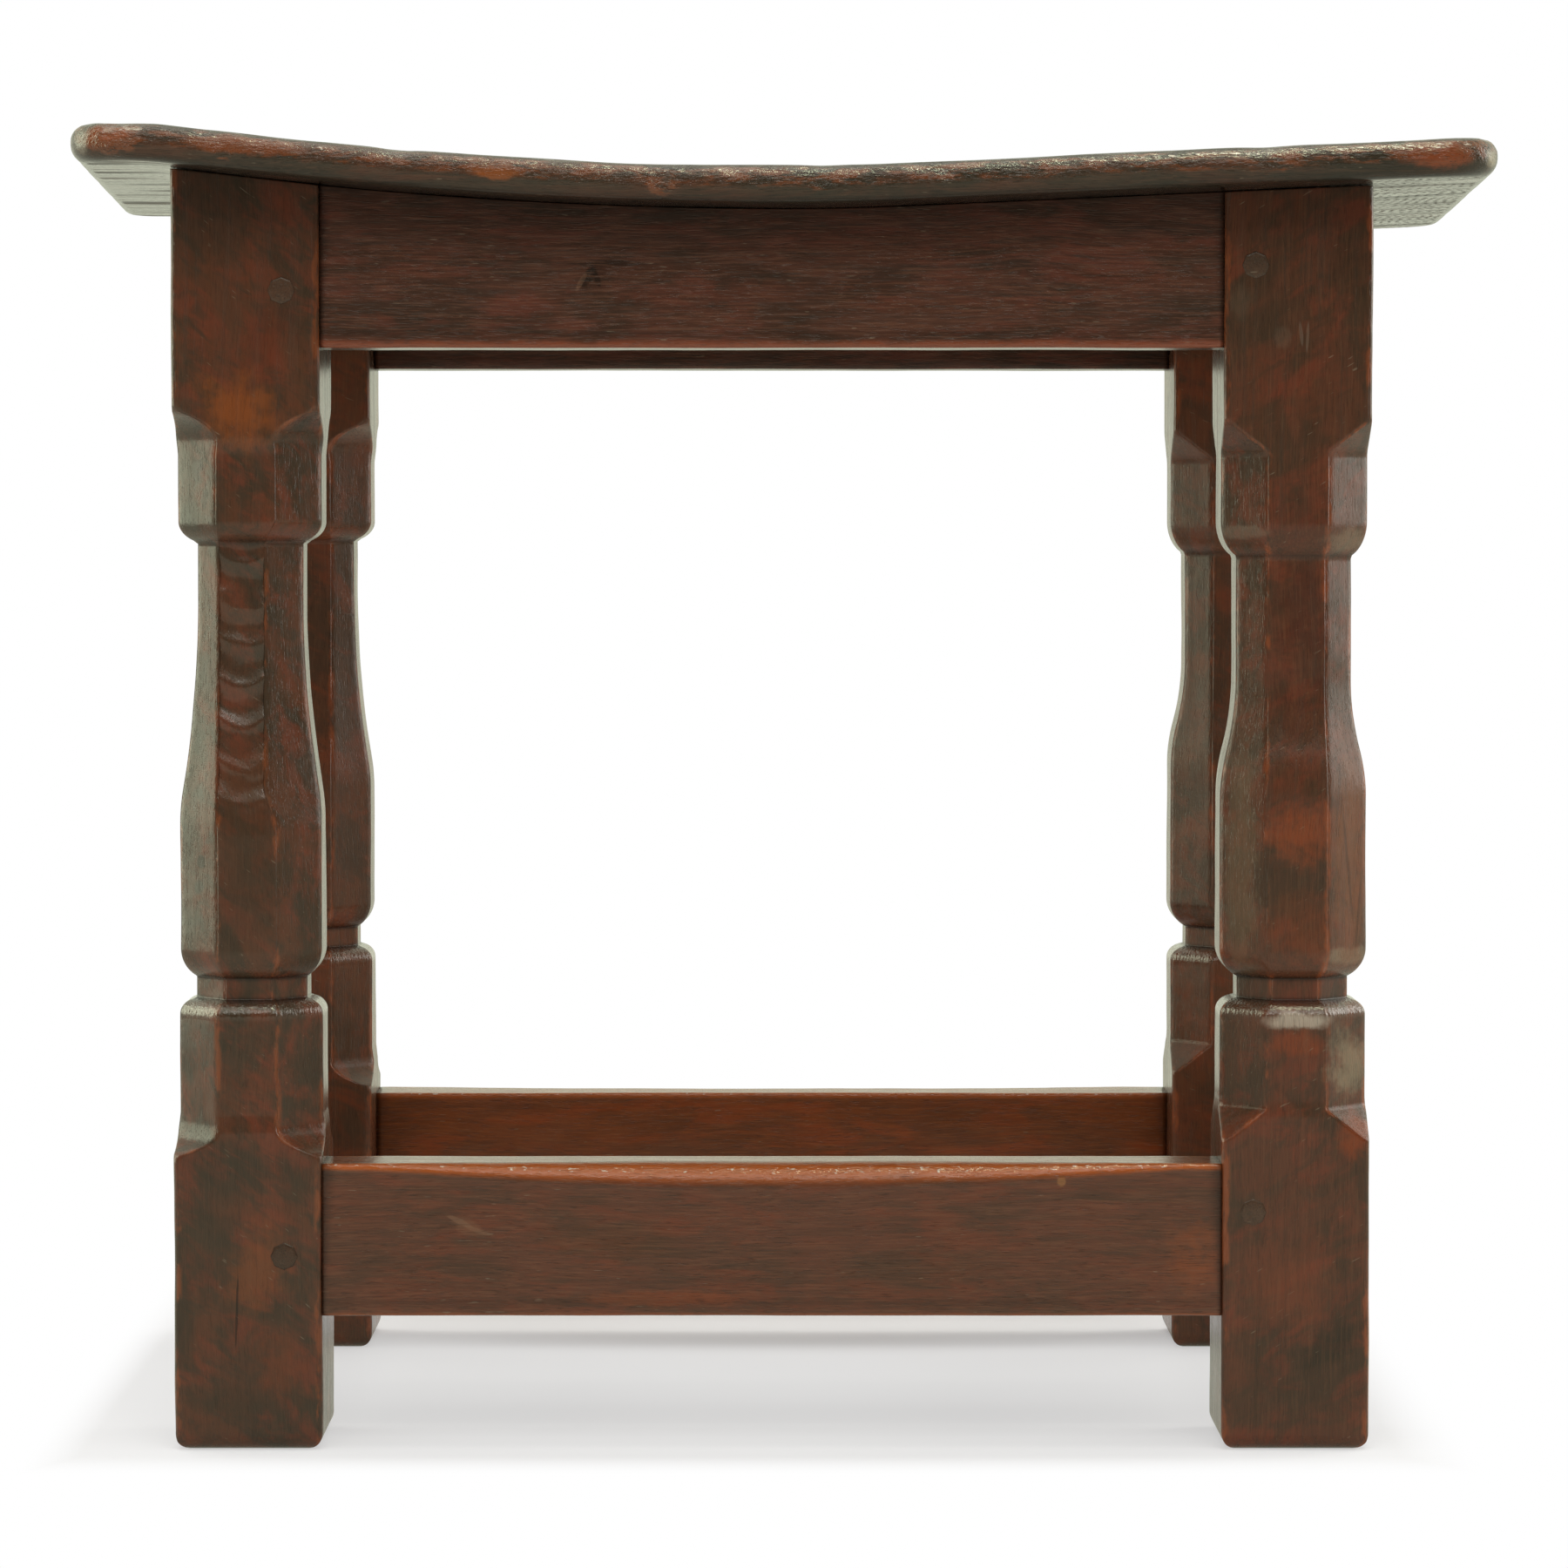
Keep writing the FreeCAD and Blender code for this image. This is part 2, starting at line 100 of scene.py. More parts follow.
# Noise that the wood is made of: the way that it runs, length and width, detail, roughness and distortion.
# Real fibres and vessels are finer than a pixel, so these are coarser.
oakNoise = {
    "fibre": ("grain", (15.0, 0.5), 3.0, 0.55, 0.0),
    "streak": ("grain", (70.0, 2.4), 4.0, 0.55, 0.0),
    "pore": ("grain", (5.0, 0.4), 1.0, 0.55, 0.0),
    "cloud": ("wood", (36.0, 24.0), 5.0, 0.6, 0.7),
    "gate": ("wood", (22.0, 8.0), 4.0, 0.7, 0.0),          # stretches of an edge that hands have rubbed
    # The chips also place the painted glints, pale flecks of colour
    "chip": ("wood", (2.2, 0.9), 2.0, 0.55, 0.0),          # small dents in a rubbed edge, which sparkle
    "dimple": ("wood", (18.0, 12.0), 2.0, 0.55, 0.0),
    "splits": ("wood", (75.0, 15.0), 3.0, 0.55, 0.0),
    "mottle": ("leaning", (15.0, 6.0), 4.0, 0.65, 0.6),    # brushed on, so it leans
    "patch": ("leaning", (24.0, 13.0), 5.0, 0.65, 0.6),
    "fleck": ("leaning", (5.0, 0.6), 1.0, 0.55, 0.0),      # pale scratches
    "toolmark": ("leaning", (24.0, 5.0), 3.0, 0.55, 0.0),  # strokes of the plane, across the grain
}
# Colours over the base, below and above the stains and painted highlights: what shows them, the levels
# between which they come in, strength and colour. A word is looked up in the finish.
underStains = [
    ("cloud", 0.42, 0.60, "cloud", "smoke"), ("patch", 0.46, 0.64, "patch", "red"),
    ("mottle", 0.46, 0.68, "mottle", "smoke"), ("streak", 0.50, 0.68, "streak", "smoke"),
]
overStains = [
    ("fibre", 0.51, 0.64, "fibre", "light"), ("fibre", 0.47, 0.36, "fibre", "smoke"),
    ("rubbed", 0.25, 0.85, "rubbed", "rub"), ("pore", 0.61, 0.69, "pores", "#150f0b"),
    # This dark layer is real dirt in places and painted shade in others: under the seat on the legs and
    # rails, and on the seat's lower nosing and underside
    ("fleck", 0.73, 0.80, 0.35, "#8a7d66"), ("grime", 0.05, 1.0, 0.92, "#0c0907"),
    # Painted glints: pale flecks that stand for the lamps glinting on chipped wax
    ("paintedGlint", 0.56, 0.64, 0.85, "#cdc3ad"),
]
# Nobody planed the underside of the seat: strokes of the saw stand in rows, most on the right, and fine
# splits run along the left
saw = {
    "pitch": 3.2, "row": 27.0, "lean": 0.08, "depth": 0.09, "roughness": 0.55,
    "patches": (0.42, 0.58), "cutting": (0.1, 0.9), "splitLevels": (0.52, 0.68),
    "fromTo": (-200.0, 60.0), "strokes": (0.1, 0.9), "splits": (0.8, 0.3),
}

# Stains, scuffs and splits that stand out, and on the right leg and at the seat's ends some painted
# highlights: where, how large, how far leaning, colour and strength
legStains = [
    ((-172, -127, 330), (12, 8, 13), -35, "#81451f", 0.85),
    ((-181, -127, 391), (14, 8, 16), 0, "#352b1f", 0.5),
    ((-163, -127, 352), (8, 8, 16), 25, "#642f1c", 0.5),
    ((-172, -127, 178), (12, 8, 16), 0, "#3a3023", 0.5),
    ((-167, -127, 57), (10, 8, 15), 15, "#784323", 0.6),
    ((-183, -127, 68), (9, 8, 14), 0, "#3d3325", 0.6),
    ((-160, -127, 27), (8, 8, 12), 0, "#6f381e", 0.5),
    ((-175, -127, 16), (14, 8, 6), 0, "#3a2f21", 0.5),
    ((-173.6, -127, 44.6), (0.4, 6, 12), 2, "#1d1610", 0.7),
    ((-164, -127, 280), (9, 8, 9), 0, "#383125", 0.6),
    ((-164, -127, 237), (10, 8, 15), 0, "#382e21", 0.5),
    ((-185, -120, 187), (1.6, 6, 2.2), 0, "#2a2318", 0.8),
    ((-186, -120, 179), (1.8, 6, 2.6), 20, "#2f261b", 0.8),
    ((-186, -120, 311), (3, 6, 4.5), 0, "#37302a", 0.6),
    ((-183, -120, 302), (1.4, 6, 4), 10, "#2f281e", 0.6),
    ((-194, -118, 250), (10, 16, 120), 0, "#434032", 0.85),
    ((-172, -127, 262), (11, 8, 34), 0, "#3b2c20", 0.5),
    ((-167, -127, 200), (15, 8, 42), 0, "#46301f", 0.5),
]
rightLegStainsAndHighlights = [
    ((175, -127, 34), (14, 8, 5), -38, "#31281c", 0.8),
    ((145, -127, 78), (7, 8, 6), 0, "#3a3124", 0.6),
    ((160, -127, 54), (14, 8, 16), 0, "#743b22", 0.5),
    ((150, -127, 14), (14, 8, 6), 0, "#3d3123", 0.5),
    # Painted highlights: the pale patches at 136.8, 122.5, 157, 289 and 291.6 high stand for the lamps' gloss
    # on bevels and chamfers
    ((163, -124, 136.8), (11, 8, 3.0), 0, "#b3a792", 0.7),
    ((162.6, -127, 129.5), (9.5, 8, 4), 0, "#7e3a1c", 0.6),
    ((179.5, -120, 122.5), (7.5, 14, 11), 0, "#8d7e63", 0.6),
    ((181, -121, 100.5), (6.5, 14, 8), 0, "#7d3a1a", 0.75),
    ((180, -120, 157), (10, 14, 3), 0, "#93866c", 0.42),
    ((180, -120, 289), (11, 14, 4), 0, "#8b7e66", 0.36),
    ((144, -120, 291.6), (10, 14, 2.3), 0, "#80715c", 0.32),
    ((164, -127, 167), (12, 8, 11), 12, "#763a1f", 0.5),
    ((163, -127, 196), (13, 8, 9), 0, "#823f20", 0.7),
    ((163, -127, 172), (10, 8, 8), 20, "#402e1c", 0.4),
    ((157, -127, 353), (3, 8, 4), -8, "#6d5a48", 0.22),
    ((163, -127, 354), (0.6, 8, 4), -5, "#7d7060", 0.25),
    ((165, -127, 353), (0.5, 8, 5), 3, "#7d7060", 0.25),
    ((178, -127, 377), (9, 8, 14), 0, "#33291c", 0.5),
    ((144, -127, 364), (4, 8, 6), 0, "#544b3a", 0.35),
    ((166, -127, 262), (18, 8, 40), 0, "#42261a", 0.85),
    ((181, -120, 190), (8, 11, 52), 0, "#74472a", 0.6),
    ((145, -120, 185), (6, 10, 42), 0, "#66533c", 0.55),
    ((179, -120, 187), (0.5, 11, 20), -6, "#452817", 0.6),
    ((183, -120, 171), (0.5, 11, 14), 5, "#452817", 0.6),
    ((176, -127, 212), (0.7, 8, 15), 4, "#452817", 0.7),
    ((181, -127, 207), (0.6, 8, 12), -3, "#452817", 0.6),
]
railStains = [
    ((-61.7, -126, 372.3), (1.9, 6, 4.0), 35, "#150f0a", 0.95),
    ((-59.0, -126, 371.4), (1.0, 6, 2.8), -20, "#150f0a", 0.8),
    ((-64.0, -126, 370.6), (0.9, 6, 3.4), 30, "#7d5c45", 0.5),
    ((-60, -126, 371), (6, 6, 5), 0, "#2c1e15", 0.5),
    ((-57, -126, 376.5), (14, 6, 1.2), 2, "#201710", 0.6),
    ((-85, -126, 363), (14, 6, 4), 0, "#683628", 0.5),
    ((-20, -126, 366), (30, 6, 5), -3, "#5c3122", 0.45),
    ((60, -126, 360), (38, 6, 4), 2, "#503022", 0.4),
]
stretcherStains = [
    ((-103, -127, 73), (5, 6, 0.9), 25, "#8a6a50", 0.3),
    ((-97, -127, 70), (5, 6, 0.8), 18, "#8a6a50", 0.25),
    ((-100, -127, 71), (6, 6, 2.5), 20, "#7a583f", 0.3),
    ((88, -127, 86), (1.4, 6, 2.0), 0, "#a8763f", 0.4),
    ((130, -127, 62), (9, 6, 13), 0, "#834522", 0.5),
    ((-38, -127, 48.5), (28, 6, 3), 0, "#80401f", 0.5),
    ((-54, -127, 66), (26, 6, 6), 4, "#48301b", 0.4),
    ((45, -127, 58), (34, 6, 7), -4, "#4b3321", 0.35),
]
seatStainsAndHighlights = [
    ((-213, -150, 415), (12, 7, 4.5), 0, "#93481f", 0.7),
    ((-168, -151, 411.5), (20, 6, 3), 4, "#8c4722", 0.55),
    ((-90, -151, 403.5), (9, 6, 2.5), 0, "#95501f", 0.6),
    ((204, -151, 409.5), (14, 6, 4.5), -2, "#874220", 0.7),
    # Painted highlights: the four pale patches at the ends stand for the gloss of the wax
    ((222.5, -146, 408.5), (3.5, 9, 5.5), 0, "#b5a98c", 0.75),
    ((-220, -146, 414), (3, 9, 6), 0, "#968c76", 0.5),
    ((-203, -151, 417.4), (3.5, 5, 1.5), 10, "#c4b9a2", 0.7),
    ((-210, -151, 416.4), (2, 5, 1.2), 0, "#b5aa94", 0.6),
]

# "opened" is how far an edge is rubbed through: levels of the noise, and the least share. A finish with
# "splits" is also sawn underneath.
everyFinish = {
    "turn": (0, 0, 0), "lean": 0, "chip": 0.25, "wax": 0.15, "toolmark": 0.0, "splits": False,
    "shine": (0.18, 0.30), "stainsAndHighlights": [], "sizes": {},
}
straightSizes = {"cloud": (60.0, 16.0), "patch": (34.0, 8.0), "mottle": (24.0, 4.0)}
oakFinish = {
    "seat": {
        "base": "#3c2f22", "smoke": "#2c271c", "light": "#563f2e", "red": "#583120", "rub": "#6c3c20",
        "cloud": 0.8, "mottle": 0.6, "patch": 0.5, "streak": 0.6, "fibre": 0.3, "pores": 0.4,
        "opened": (0.42, 0.62, 0.15), "rubbed": 0.85, "chip": 1.0, "wax": 0.3, "shine": (0.16, 0.27),
        "splits": True, "stainsAndHighlights": seatStainsAndHighlights,
        "sizes": {"gate": (11.0, 2.4), "cloud": (130.0, 20.0), "patch": (60.0, 12.0), "mottle": (28.0, 5.0)}},
    "left leg": {
        "base": "#563624", "smoke": "#3a3124", "light": "#634732", "red": "#6b3724", "rub": "#834624",
        "cloud": 0.85, "mottle": 0.75, "patch": 0.7, "streak": 0.15, "fibre": 0.15, "pores": 0.15,
        "opened": (0.46, 0.62, 0.1), "rubbed": 0.6, "turn": (0, 90, 0), "lean": 38, "toolmark": 0.1,
        "stainsAndHighlights": legStains},
    "right leg": {
        "base": "#563423", "smoke": "#3c2f21", "light": "#66462e", "red": "#6c3623", "rub": "#8a4724",
        "cloud": 0.75, "mottle": 0.6, "patch": 0.65, "streak": 0.3, "fibre": 0.25, "pores": 0.2,
        "opened": (0.44, 0.62, 0.15), "rubbed": 0.65, "turn": (0, 90, 0), "lean": -30, "toolmark": 0.05,
        "stainsAndHighlights": rightLegStainsAndHighlights},
    "back legs": {
        "base": "#643d28", "smoke": "#493728", "light": "#715036", "red": "#793e26", "rub": "#924c29",
        "cloud": 0.75, "mottle": 0.5, "patch": 0.65, "streak": 0.25, "fibre": 0.2, "pores": 0.2,
        "opened": (0.44, 0.62, 0.15), "rubbed": 0.7, "turn": (0, 90, 0), "lean": 20, "toolmark": 0.06},
    "rails": {
        "base": "#4e3023", "smoke": "#31251b", "light": "#694734", "red": "#623527", "rub": "#7c4028",
        "cloud": 0.6, "mottle": 0.5, "patch": 0.6, "streak": 0.35, "fibre": 0.4, "pores": 0.25,
        "opened": (0.40, 0.52, 0.7), "rubbed": 0.8, "wax": 0.2, "shine": (0.20, 0.32),
        "stainsAndHighlights": railStains, "sizes": straightSizes},
    "stretchers": {
        "base": "#5d3827", "smoke": "#433224", "light": "#6f4a33", "red": "#6d3823", "rub": "#a3521e",
        "cloud": 0.55, "mottle": 0.45, "patch": 0.6, "streak": 0.3, "fibre": 0.35, "pores": 0.3,
        "opened": (0.30, 0.46, 0.75), "rubbed": 1.0, "chip": 0.6, "wax": 0.35,
        "stainsAndHighlights": stretcherStains, "sizes": {"gate": (30.0, 5.0), **straightSizes}},
    "pegs": {
        "base": "#4d392a", "smoke": "#3a2e22", "light": "#594333", "red": "#503222", "rub": "#6a3a22",
        "cloud": 0.6, "mottle": 0.4, "patch": 0.3, "streak": 0.4, "fibre": 0.3, "pores": 0.4,
        "opened": (0.4, 0.6, 0.3), "rubbed": 0.5, "turn": (0, 0, -90), "wax": 0.2, "shine": (0.2, 0.3)},
}
# The side pieces are the same wood with its grain along Y, and the stretcher behind is lighter and redder
for key in ("rails", "stretchers"):
    oakFinish["side " + key] = {**oakFinish[key], "turn": (0, 0, -90), "stainsAndHighlights": []}
oakFinish["back stretcher"] = {**oakFinish["stretchers"], "base": "#783f1f", "smoke": "#57331d",
                               "light": "#884e28", "red": "#8c3f1a", "rub": "#a45424", "stainsAndHighlights": []}


def addStainsAndHighlights(add, spot, stainsAndHighlights):
    # One layer for each stain or painted highlight, with the same five entries as underStains
    wander = add("TexNoise", {"Vector": spot, "Scale": 1 / oakGrain["markBlur"], "Detail": 4.0,
                              "Roughness": 0.65})
    wander = add("VectorMath SUBTRACT", [wander.outputs[1], (0.5, 0.5, 0.5)])
    layers = []
    for place, radii, lean, code, strength in stainsAndHighlights:
        # Only a broad stain wanders much, a split or a knot keeps its shape
        soft = min(1.0, min(radii[0], radii[2]) / oakGrain["markSoft"])
        strayed = add("VectorMath SCALE", {0: wander, "Scale": oakGrain["markDrift"] * soft ** 1.5})
        strayed = add("VectorMath ADD", [spot, strayed])
        inside = add("Mapping", {"Vector": strayed, "Location": place, "Scale": radii,
                                 "Rotation": (0, math.radians(lean), 0)}, vector_type="TEXTURE")
        inside = add("VectorMath LENGTH", [inside]).outputs["Value"]
        levels = [level + more * soft for level, more in oakGrain["markLevels"]]
        layers.append((inside, *levels, strength, code))
    return layers


def sawStrokes(add, wood, noises, sawn):
    # How deep the saw and the splits have gone, from 0 to 1
    along, across, _ = add("SeparateXYZ", [wood]).outputs
    row = add("Math PINGPONG", [across, saw["row"]])
    phase = add("Math MULTIPLY_ADD", [row, saw["lean"], along])
    phase = add("Math MULTIPLY_ADD", [noises["cloud"], saw["row"], phase])
    phase = add("Math MULTIPLY", [phase, 2 * math.pi / saw["pitch"]])
    patches = add("MapRange", [noises["mottle"], *saw["patches"], 0.0, 1.0])
    stroke = add("Math MULTIPLY", [add("Math SINE", [phase]), patches])
    stroke = add("MapRange", [stroke, *saw["cutting"], 0.0, 1.0])
    strokes, splits = [add("MapRange", [along, *saw["fromTo"], *saw[key]]) for key in ("strokes", "splits")]
    stroke = add("Math MULTIPLY", [stroke, strokes])
    split = add("MapRange", [noises["splits"], *saw["splitLevels"], 0.0, splits])
    stroke = add("Math MAXIMUM", [stroke, split])
    return add("Math MULTIPLY", [stroke, sawn])


def waxedOak(name, finish):
    finish = {**everyFinish, **finish}
    material, add = newMaterial(name)
    spot = add("TexCoord").outputs["Object"]
    spot = add("VectorMath SCALE", {0: spot, "Scale": 1 / mm})
    turn = [math.radians(angle) for angle in finish["turn"]]
    wood = add("Mapping", {"Vector": spot, "Rotation": turn})   # grain along X
    drift = add("TexNoise", {"Vector": wood, "Scale": 1 / oakGrain["drift"], "Detail": 2.0})
    drift = add("VectorMath SUBTRACT", [drift.outputs[1], (0.5, 0.5, 0.5)])
    width = oakGrain["driftWidth"]
    drift = add("VectorMath MULTIPLY", [drift, (0, width, width)])
    lean = (0, -math.radians(finish["lean"]), 0)
    ways = {"wood": wood, "grain": add("VectorMath ADD", [wood, drift]),
            "leaning": add("Mapping", {"Vector": spot, "Rotation": lean})}
    noises = {}
    for label, (way, size, detail, roughness, distortion) in oakNoise.items():
        if finish.get(label, True):   # not every finish has toolmarks and splits
            length, across = finish["sizes"].get(label, size)
            stretched = add("VectorMath MULTIPLY", [ways[way], (1 / length, 1 / across, 1 / across)])
            noises[label] = add("TexNoise", {"Vector": stretched, "Scale": 1.0, "Detail": detail,
                                             "Roughness": roughness, "Distortion": distortion})
    marks = {}
    for label in ["wear", "grime", "polish", "paintedGlint"] + (["sawn", "satin"] if finish["splits"] else []):
        marks[label] = add("Attribute", attribute_name=label).outputs["Fac"]

    # An edge is rubbed through in some stretches and only softened in others
    openings = add("MapRange", [noises["gate"], *finish["opened"], 1.0])
    rubbed = add("Math MULTIPLY", [marks["wear"], openings])
    # Painted glints: pale flecks where the chips meet the glint attribute
    paintedGlint = add("Math MULTIPLY", [noises["chip"], marks["paintedGlint"]])
    masks = {**noises, **marks, "rubbed": rubbed, "paintedGlint": paintedGlint}
    below, above = [[(masks[label], low, high, finish.get(strength, strength), finish.get(code, code))
                     for label, low, high, strength, code in table] for table in (underStains, overStains)]
    layers = below + addStainsAndHighlights(add, spot, finish["stainsAndHighlights"]) + above
    colour = fromHex(finish["base"])
    for mask, low, high, strength, code in layers:
        share = add("MapRange", [mask, low, high, 0.0, strength], interpolation_type="SMOOTHSTEP")
        colour = add("Mix", {0: share, 6: colour, 7: fromHex(code)}, data_type="RGBA").outputs[2]

    # Fibres and pores stand in the surface, the plane has left shallow hollows and wear has left dents
    scratched = add("Math MULTIPLY", [marks["polish"], oakGrain["scratchDepth"]])
    chipped = add("Math MULTIPLY_ADD", [marks["wear"], oakGrain["chipDepth"] * finish["chip"], scratched])
    height = add("MapRange", [noises["pore"], *oakGrain["poreLevels"], 0.0, -oakGrain["poreDepth"]])
    rises = {"fibre": oakGrain["fibreRise"], "dimple": oakGrain["dimpleRise"], "chip": chipped,
             "toolmark": finish["toolmark"]}
    for label, rise in rises.items():
        if label in noises:
            height = add("Math MULTIPLY_ADD", [noises[label], rise, height])
    gloss = add("MapRange", [noises["streak"], *oakGrain["shineLevels"], *finish["shine"]])
    if finish["splits"]:
        stroke = sawStrokes(add, wood, noises, marks["sawn"])
        height = add("Math MULTIPLY_ADD", [stroke, -saw["depth"], height])
        gloss = add("Math MULTIPLY_ADD", [stroke, saw["roughness"], gloss])
        gloss = add("Math MULTIPLY_ADD", [marks["satin"], oakGrain["satin"], gloss])
    bump = add("Bump", {"Strength": 1.0, "Distance": mm, "Height": height})
    waxed = add("Math MULTIPLY", [rubbed, finish["wax"]])
    waxed = add("Math MAXIMUM", [waxed, marks["polish"]])
    shader = add("BsdfPrincipled", {
        "Base Color": colour, "Roughness": gloss, "Normal": bump, "IOR": oakGrain["index"],
        "Specular IOR Level": oakGrain["gloss"], "Coat Weight": waxed,
        "Coat Roughness": oakGrain["waxRoughness"], "Coat Normal": bump})
    add("OutputMaterial", {"Surface": shader})
    return material


oak = {key: waxedOak("Waxed oak, " + key, finish) for key, finish in oakFinish.items()}
print("materials:", len(oak), "finishes of waxed oak")


# The frame over the outer faces of the legs, and the dish of the seat, as the CAD has them
stool = {
    "length": 379.4,
    "depth": 253.0,
    "middle": -3.85,           # of the frame, left of the seat's middle
    "legWidth": 47.0,
    "undersideHeight": 393.6,  # of the seat at its lowest point
    "clearance": 0.1,          # under the board
    "lowPoint": 2.0,
    "leftRadius": 1500.0,
    "leftRun": 192.0,
    "endRadius": 120.0,
    "rightRadius": 800.0,
    "rightSlope": math.radians(2.55),
}


def dishRise(x):
    # How far the seat rises at x above its lowest point
    x = np.asarray(x, float)
    left = np.clip(stool["lowPoint"] - x, 0, None)
    turn = math.asin(stool["leftRun"] / stool["leftRadius"])
    shelf = stool["leftRun"] + stool["endRadius"] * math.sin(turn)
    run = np.minimum(left, stool["leftRun"])
    rise = stool["leftRadius"] - np.sqrt(stool["leftRadius"] ** 2 - run ** 2)
    past = np.clip(shelf - left, 0, shelf - stool["leftRun"])
    knee = stool["endRadius"] * (1 - math.cos(turn))
    rise += knee - (stool["endRadius"] - np.sqrt(stool["endRadius"] ** 2 - past ** 2))
    right = np.clip(x - stool["lowPoint"], 0, None)
    bend = stool["rightRadius"] * math.sin(stool["rightSlope"])
    run = np.minimum(right, bend)
    rise += stool["rightRadius"] - np.sqrt(stool["rightRadius"] ** 2 - run ** 2)
    return rise + np.clip(right - bend, 0, None) * math.tan(stool["rightSlope"])


def makePiece(name, points, faces, attributes, material):
    mesh = bpy.data.meshes.new(name)
    mesh.from_pydata((np.asarray(points) * mm).tolist(), [], faces)
    for label, values in attributes.items():
        mesh.attributes.new(label, "FLOAT", "POINT").data.foreach_set("value", np.asarray(values, np.float32))
    mesh.materials.append(material)
    mesh.shade_smooth()
    piece = bpy.data.objects.new(name, mesh)
    scene.collection.objects.link(piece)
    return piece


def dress(piece, node):
    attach(piece, "root")
    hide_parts(node)


def unevenness(points, size, depth, seed):
    # Smooth noise at each point, from -depth to depth
    places = points / size + seed
    return np.array([noise.noise(Vector(p)) for p in places]) * depth


def newTree(name, inputs):
    # An empty tree with its inputs, the function that adds to it and the sockets of the inputs
    tree = bpy.data.node_groups.new(name, "GeometryNodeTree")
    tree.interface.new_socket("Geometry", in_out="OUTPUT", socket_type="NodeSocketGeometry")
    for label, kind in inputs.items():
        tree.interface.new_socket(label, in_out="INPUT", socket_type="NodeSocket" + kind)
    add = partial(addNode, tree)
    return tree, add, add("NodeGroupInput").outputs


def fromTree(name, tree, settings, mesh=None):
    # A plain mesh from a tree: its inputs are set by their identifiers, and the modifier goes
    holder = bpy.data.objects.new(name + "_tree", mesh or bpy.data.meshes.new(name + "_tree"))
    scene.collection.objects.link(holder)
    modifier = holder.modifiers.new("Maker", "NODES")
    modifier.node_group = tree
    for item in tree.interface.items_tree:
        if item.in_out == "INPUT" and item.name in settings:
            modifier[item.identifier] = settings[item.name]
    evaluated = holder.evaluated_get(bpy.context.evaluated_depsgraph_get())
    made = bpy.data.objects.new(name, bpy.data.meshes.new_from_object(evaluated))
    made.data.name = name
    scene.collection.objects.link(made)
    bpy.data.objects.remove(holder)
    return made


# Legs: an octagonal baluster between square blocks, cut by hand. Heights from the floor and half widths.
legShape = {
    "Half width": 23.5, "Foot round": 5.5, "Arris flat": 0.9, "Low drum top": 137.8, "Groove foot": 142.8,
    "Groove top": 149.8, "Drum foot": 158.8, "Cap foot": 294.9, "Groove": 17.7,
}
legHands = {
    "left": {"Block line": 103.8, "Low stop": 93.8, "Drum top": 198.5, "Flare turn": 0.15, "Neck foot": 270.5,
             "Neck top": 288.3, "Cap line": 318.9, "High stop": 330.0, "Stop power": 2.4, "Low drum": 22.9,
             "Drum": 22.6, "Neck": 16.7, "Neck corner": 18.3, "Cap": 22.9},
    "right": {"Block line": 108.8, "Low stop": 98.8, "Drum top": 207.0, "Flare turn": 0.4, "Neck foot": 245.1,
              "Neck top": 283.9, "Cap line": 316.9, "High stop": 326.4, "Stop power": 1.0, "Low drum": 23.2,
              "Drum": 23.35, "Neck": 18.4, "Neck corner": 19.4, "Cap": 23.4},
}
legFinish = {"Arris wear": 0.3, "Hewing depth": 0.4, "Ripple depth": 0.0, "Neck skew": 0.0}
rippledNeck = {"Ripple depth": 1.15, "Neck skew": 3.8}   # the front left leg was finished with the adze
legMesh = {
    "columns": 152,
    "rows": 400,
    "capShare": 0.012,
    "flatShare": 0.6,         # of the columns of a quarter, for its flat; the chamfer has the rest
    "merge": 0.002,
    # How round each arc of the outline is, from a slope at 0 to a quarter of a circle at 1
    "footArc": 1.0, "grooveArc": 0.99, "drumArc": 0.87, "flareArc": 0.16, "capArc": 0.90,
    "arrisReach": 2.4,        # wear shows this far from an arris
    "arrisPower": 4.0,
    "stepWidth": 5.0,         # of the slope from the block down to the octagon
    "hewingLength": 38.0,
    "soundHeight": 6.0,       # hand work fades out above the floor
    "shoulder": (-6.0, -4.0, 0.0, 0.7),   # the polish below the groove
}
# Strokes of the adze across a neck: arcs whose middle is near the leg's axis. No two are alike.
ripple = {
    "low": 196.0, "high": 291.0, "fadeIn": 20, "fadeOut": 8, "pitch": 13.0, "bow": -34.0, "middle": -0.5,
    "wander": 2.2, "wanderLength": 14.0, "patchLength": 22.0, "patches": (0.35, 0.6, 0.25, 1.0),
    "facing": (-0.75, -0.97), "polish": 0.13,
}
# Darker bands on a leg: at which height, how far each spreads and how strong it is. Darker lines at the
# groove and above the neck; under the seat a narrow band and a broad fall from the top are painted shade.
legDarkening = [("Groove foot", 1.6, 0.75), ("Groove top", 1.6, 0.75), ("Neck top", 2.0, 0.6),
           ("Top height", 7.0, 0.5), ("Top height", 130.0, 0.34)]
# Shares of the rows up to each height, so that the groove and its shoulders get more of them
legRows = [(0.0, 0.0), (0.012, 0.0), (0.06, 8.0), (0.22, 92.0), (0.30, 112.0), (0.37, 136.0), (0.52, 160.0),
           (0.82, 282.0), (0.88, 297.0), (0.94, 332.0), (0.980, 392.5), (0.988, 394.0), (1.0, 394.0)]


def addStage(add, width, height, low, high, change, roundness, uprightEnd):
    # One arc of an outline, which leaves its upright end upright and changes the width
    ends = [0.0, roundness]
    levels = [1.0, math.sqrt(1 - roundness ** 2)]
    if uprightEnd == "high":
        ends.reverse()
        levels.reverse()
    way = add("MapRange", [height, low, high, *ends])
    square = add("Math MULTIPLY", [way, way])
    rest = add("Math SUBTRACT", [1.0, square])
    part = add("MapRange", [add("Math SQRT", [rest]), *levels, 0.0, change])
    return add("Math ADD", [width, part])


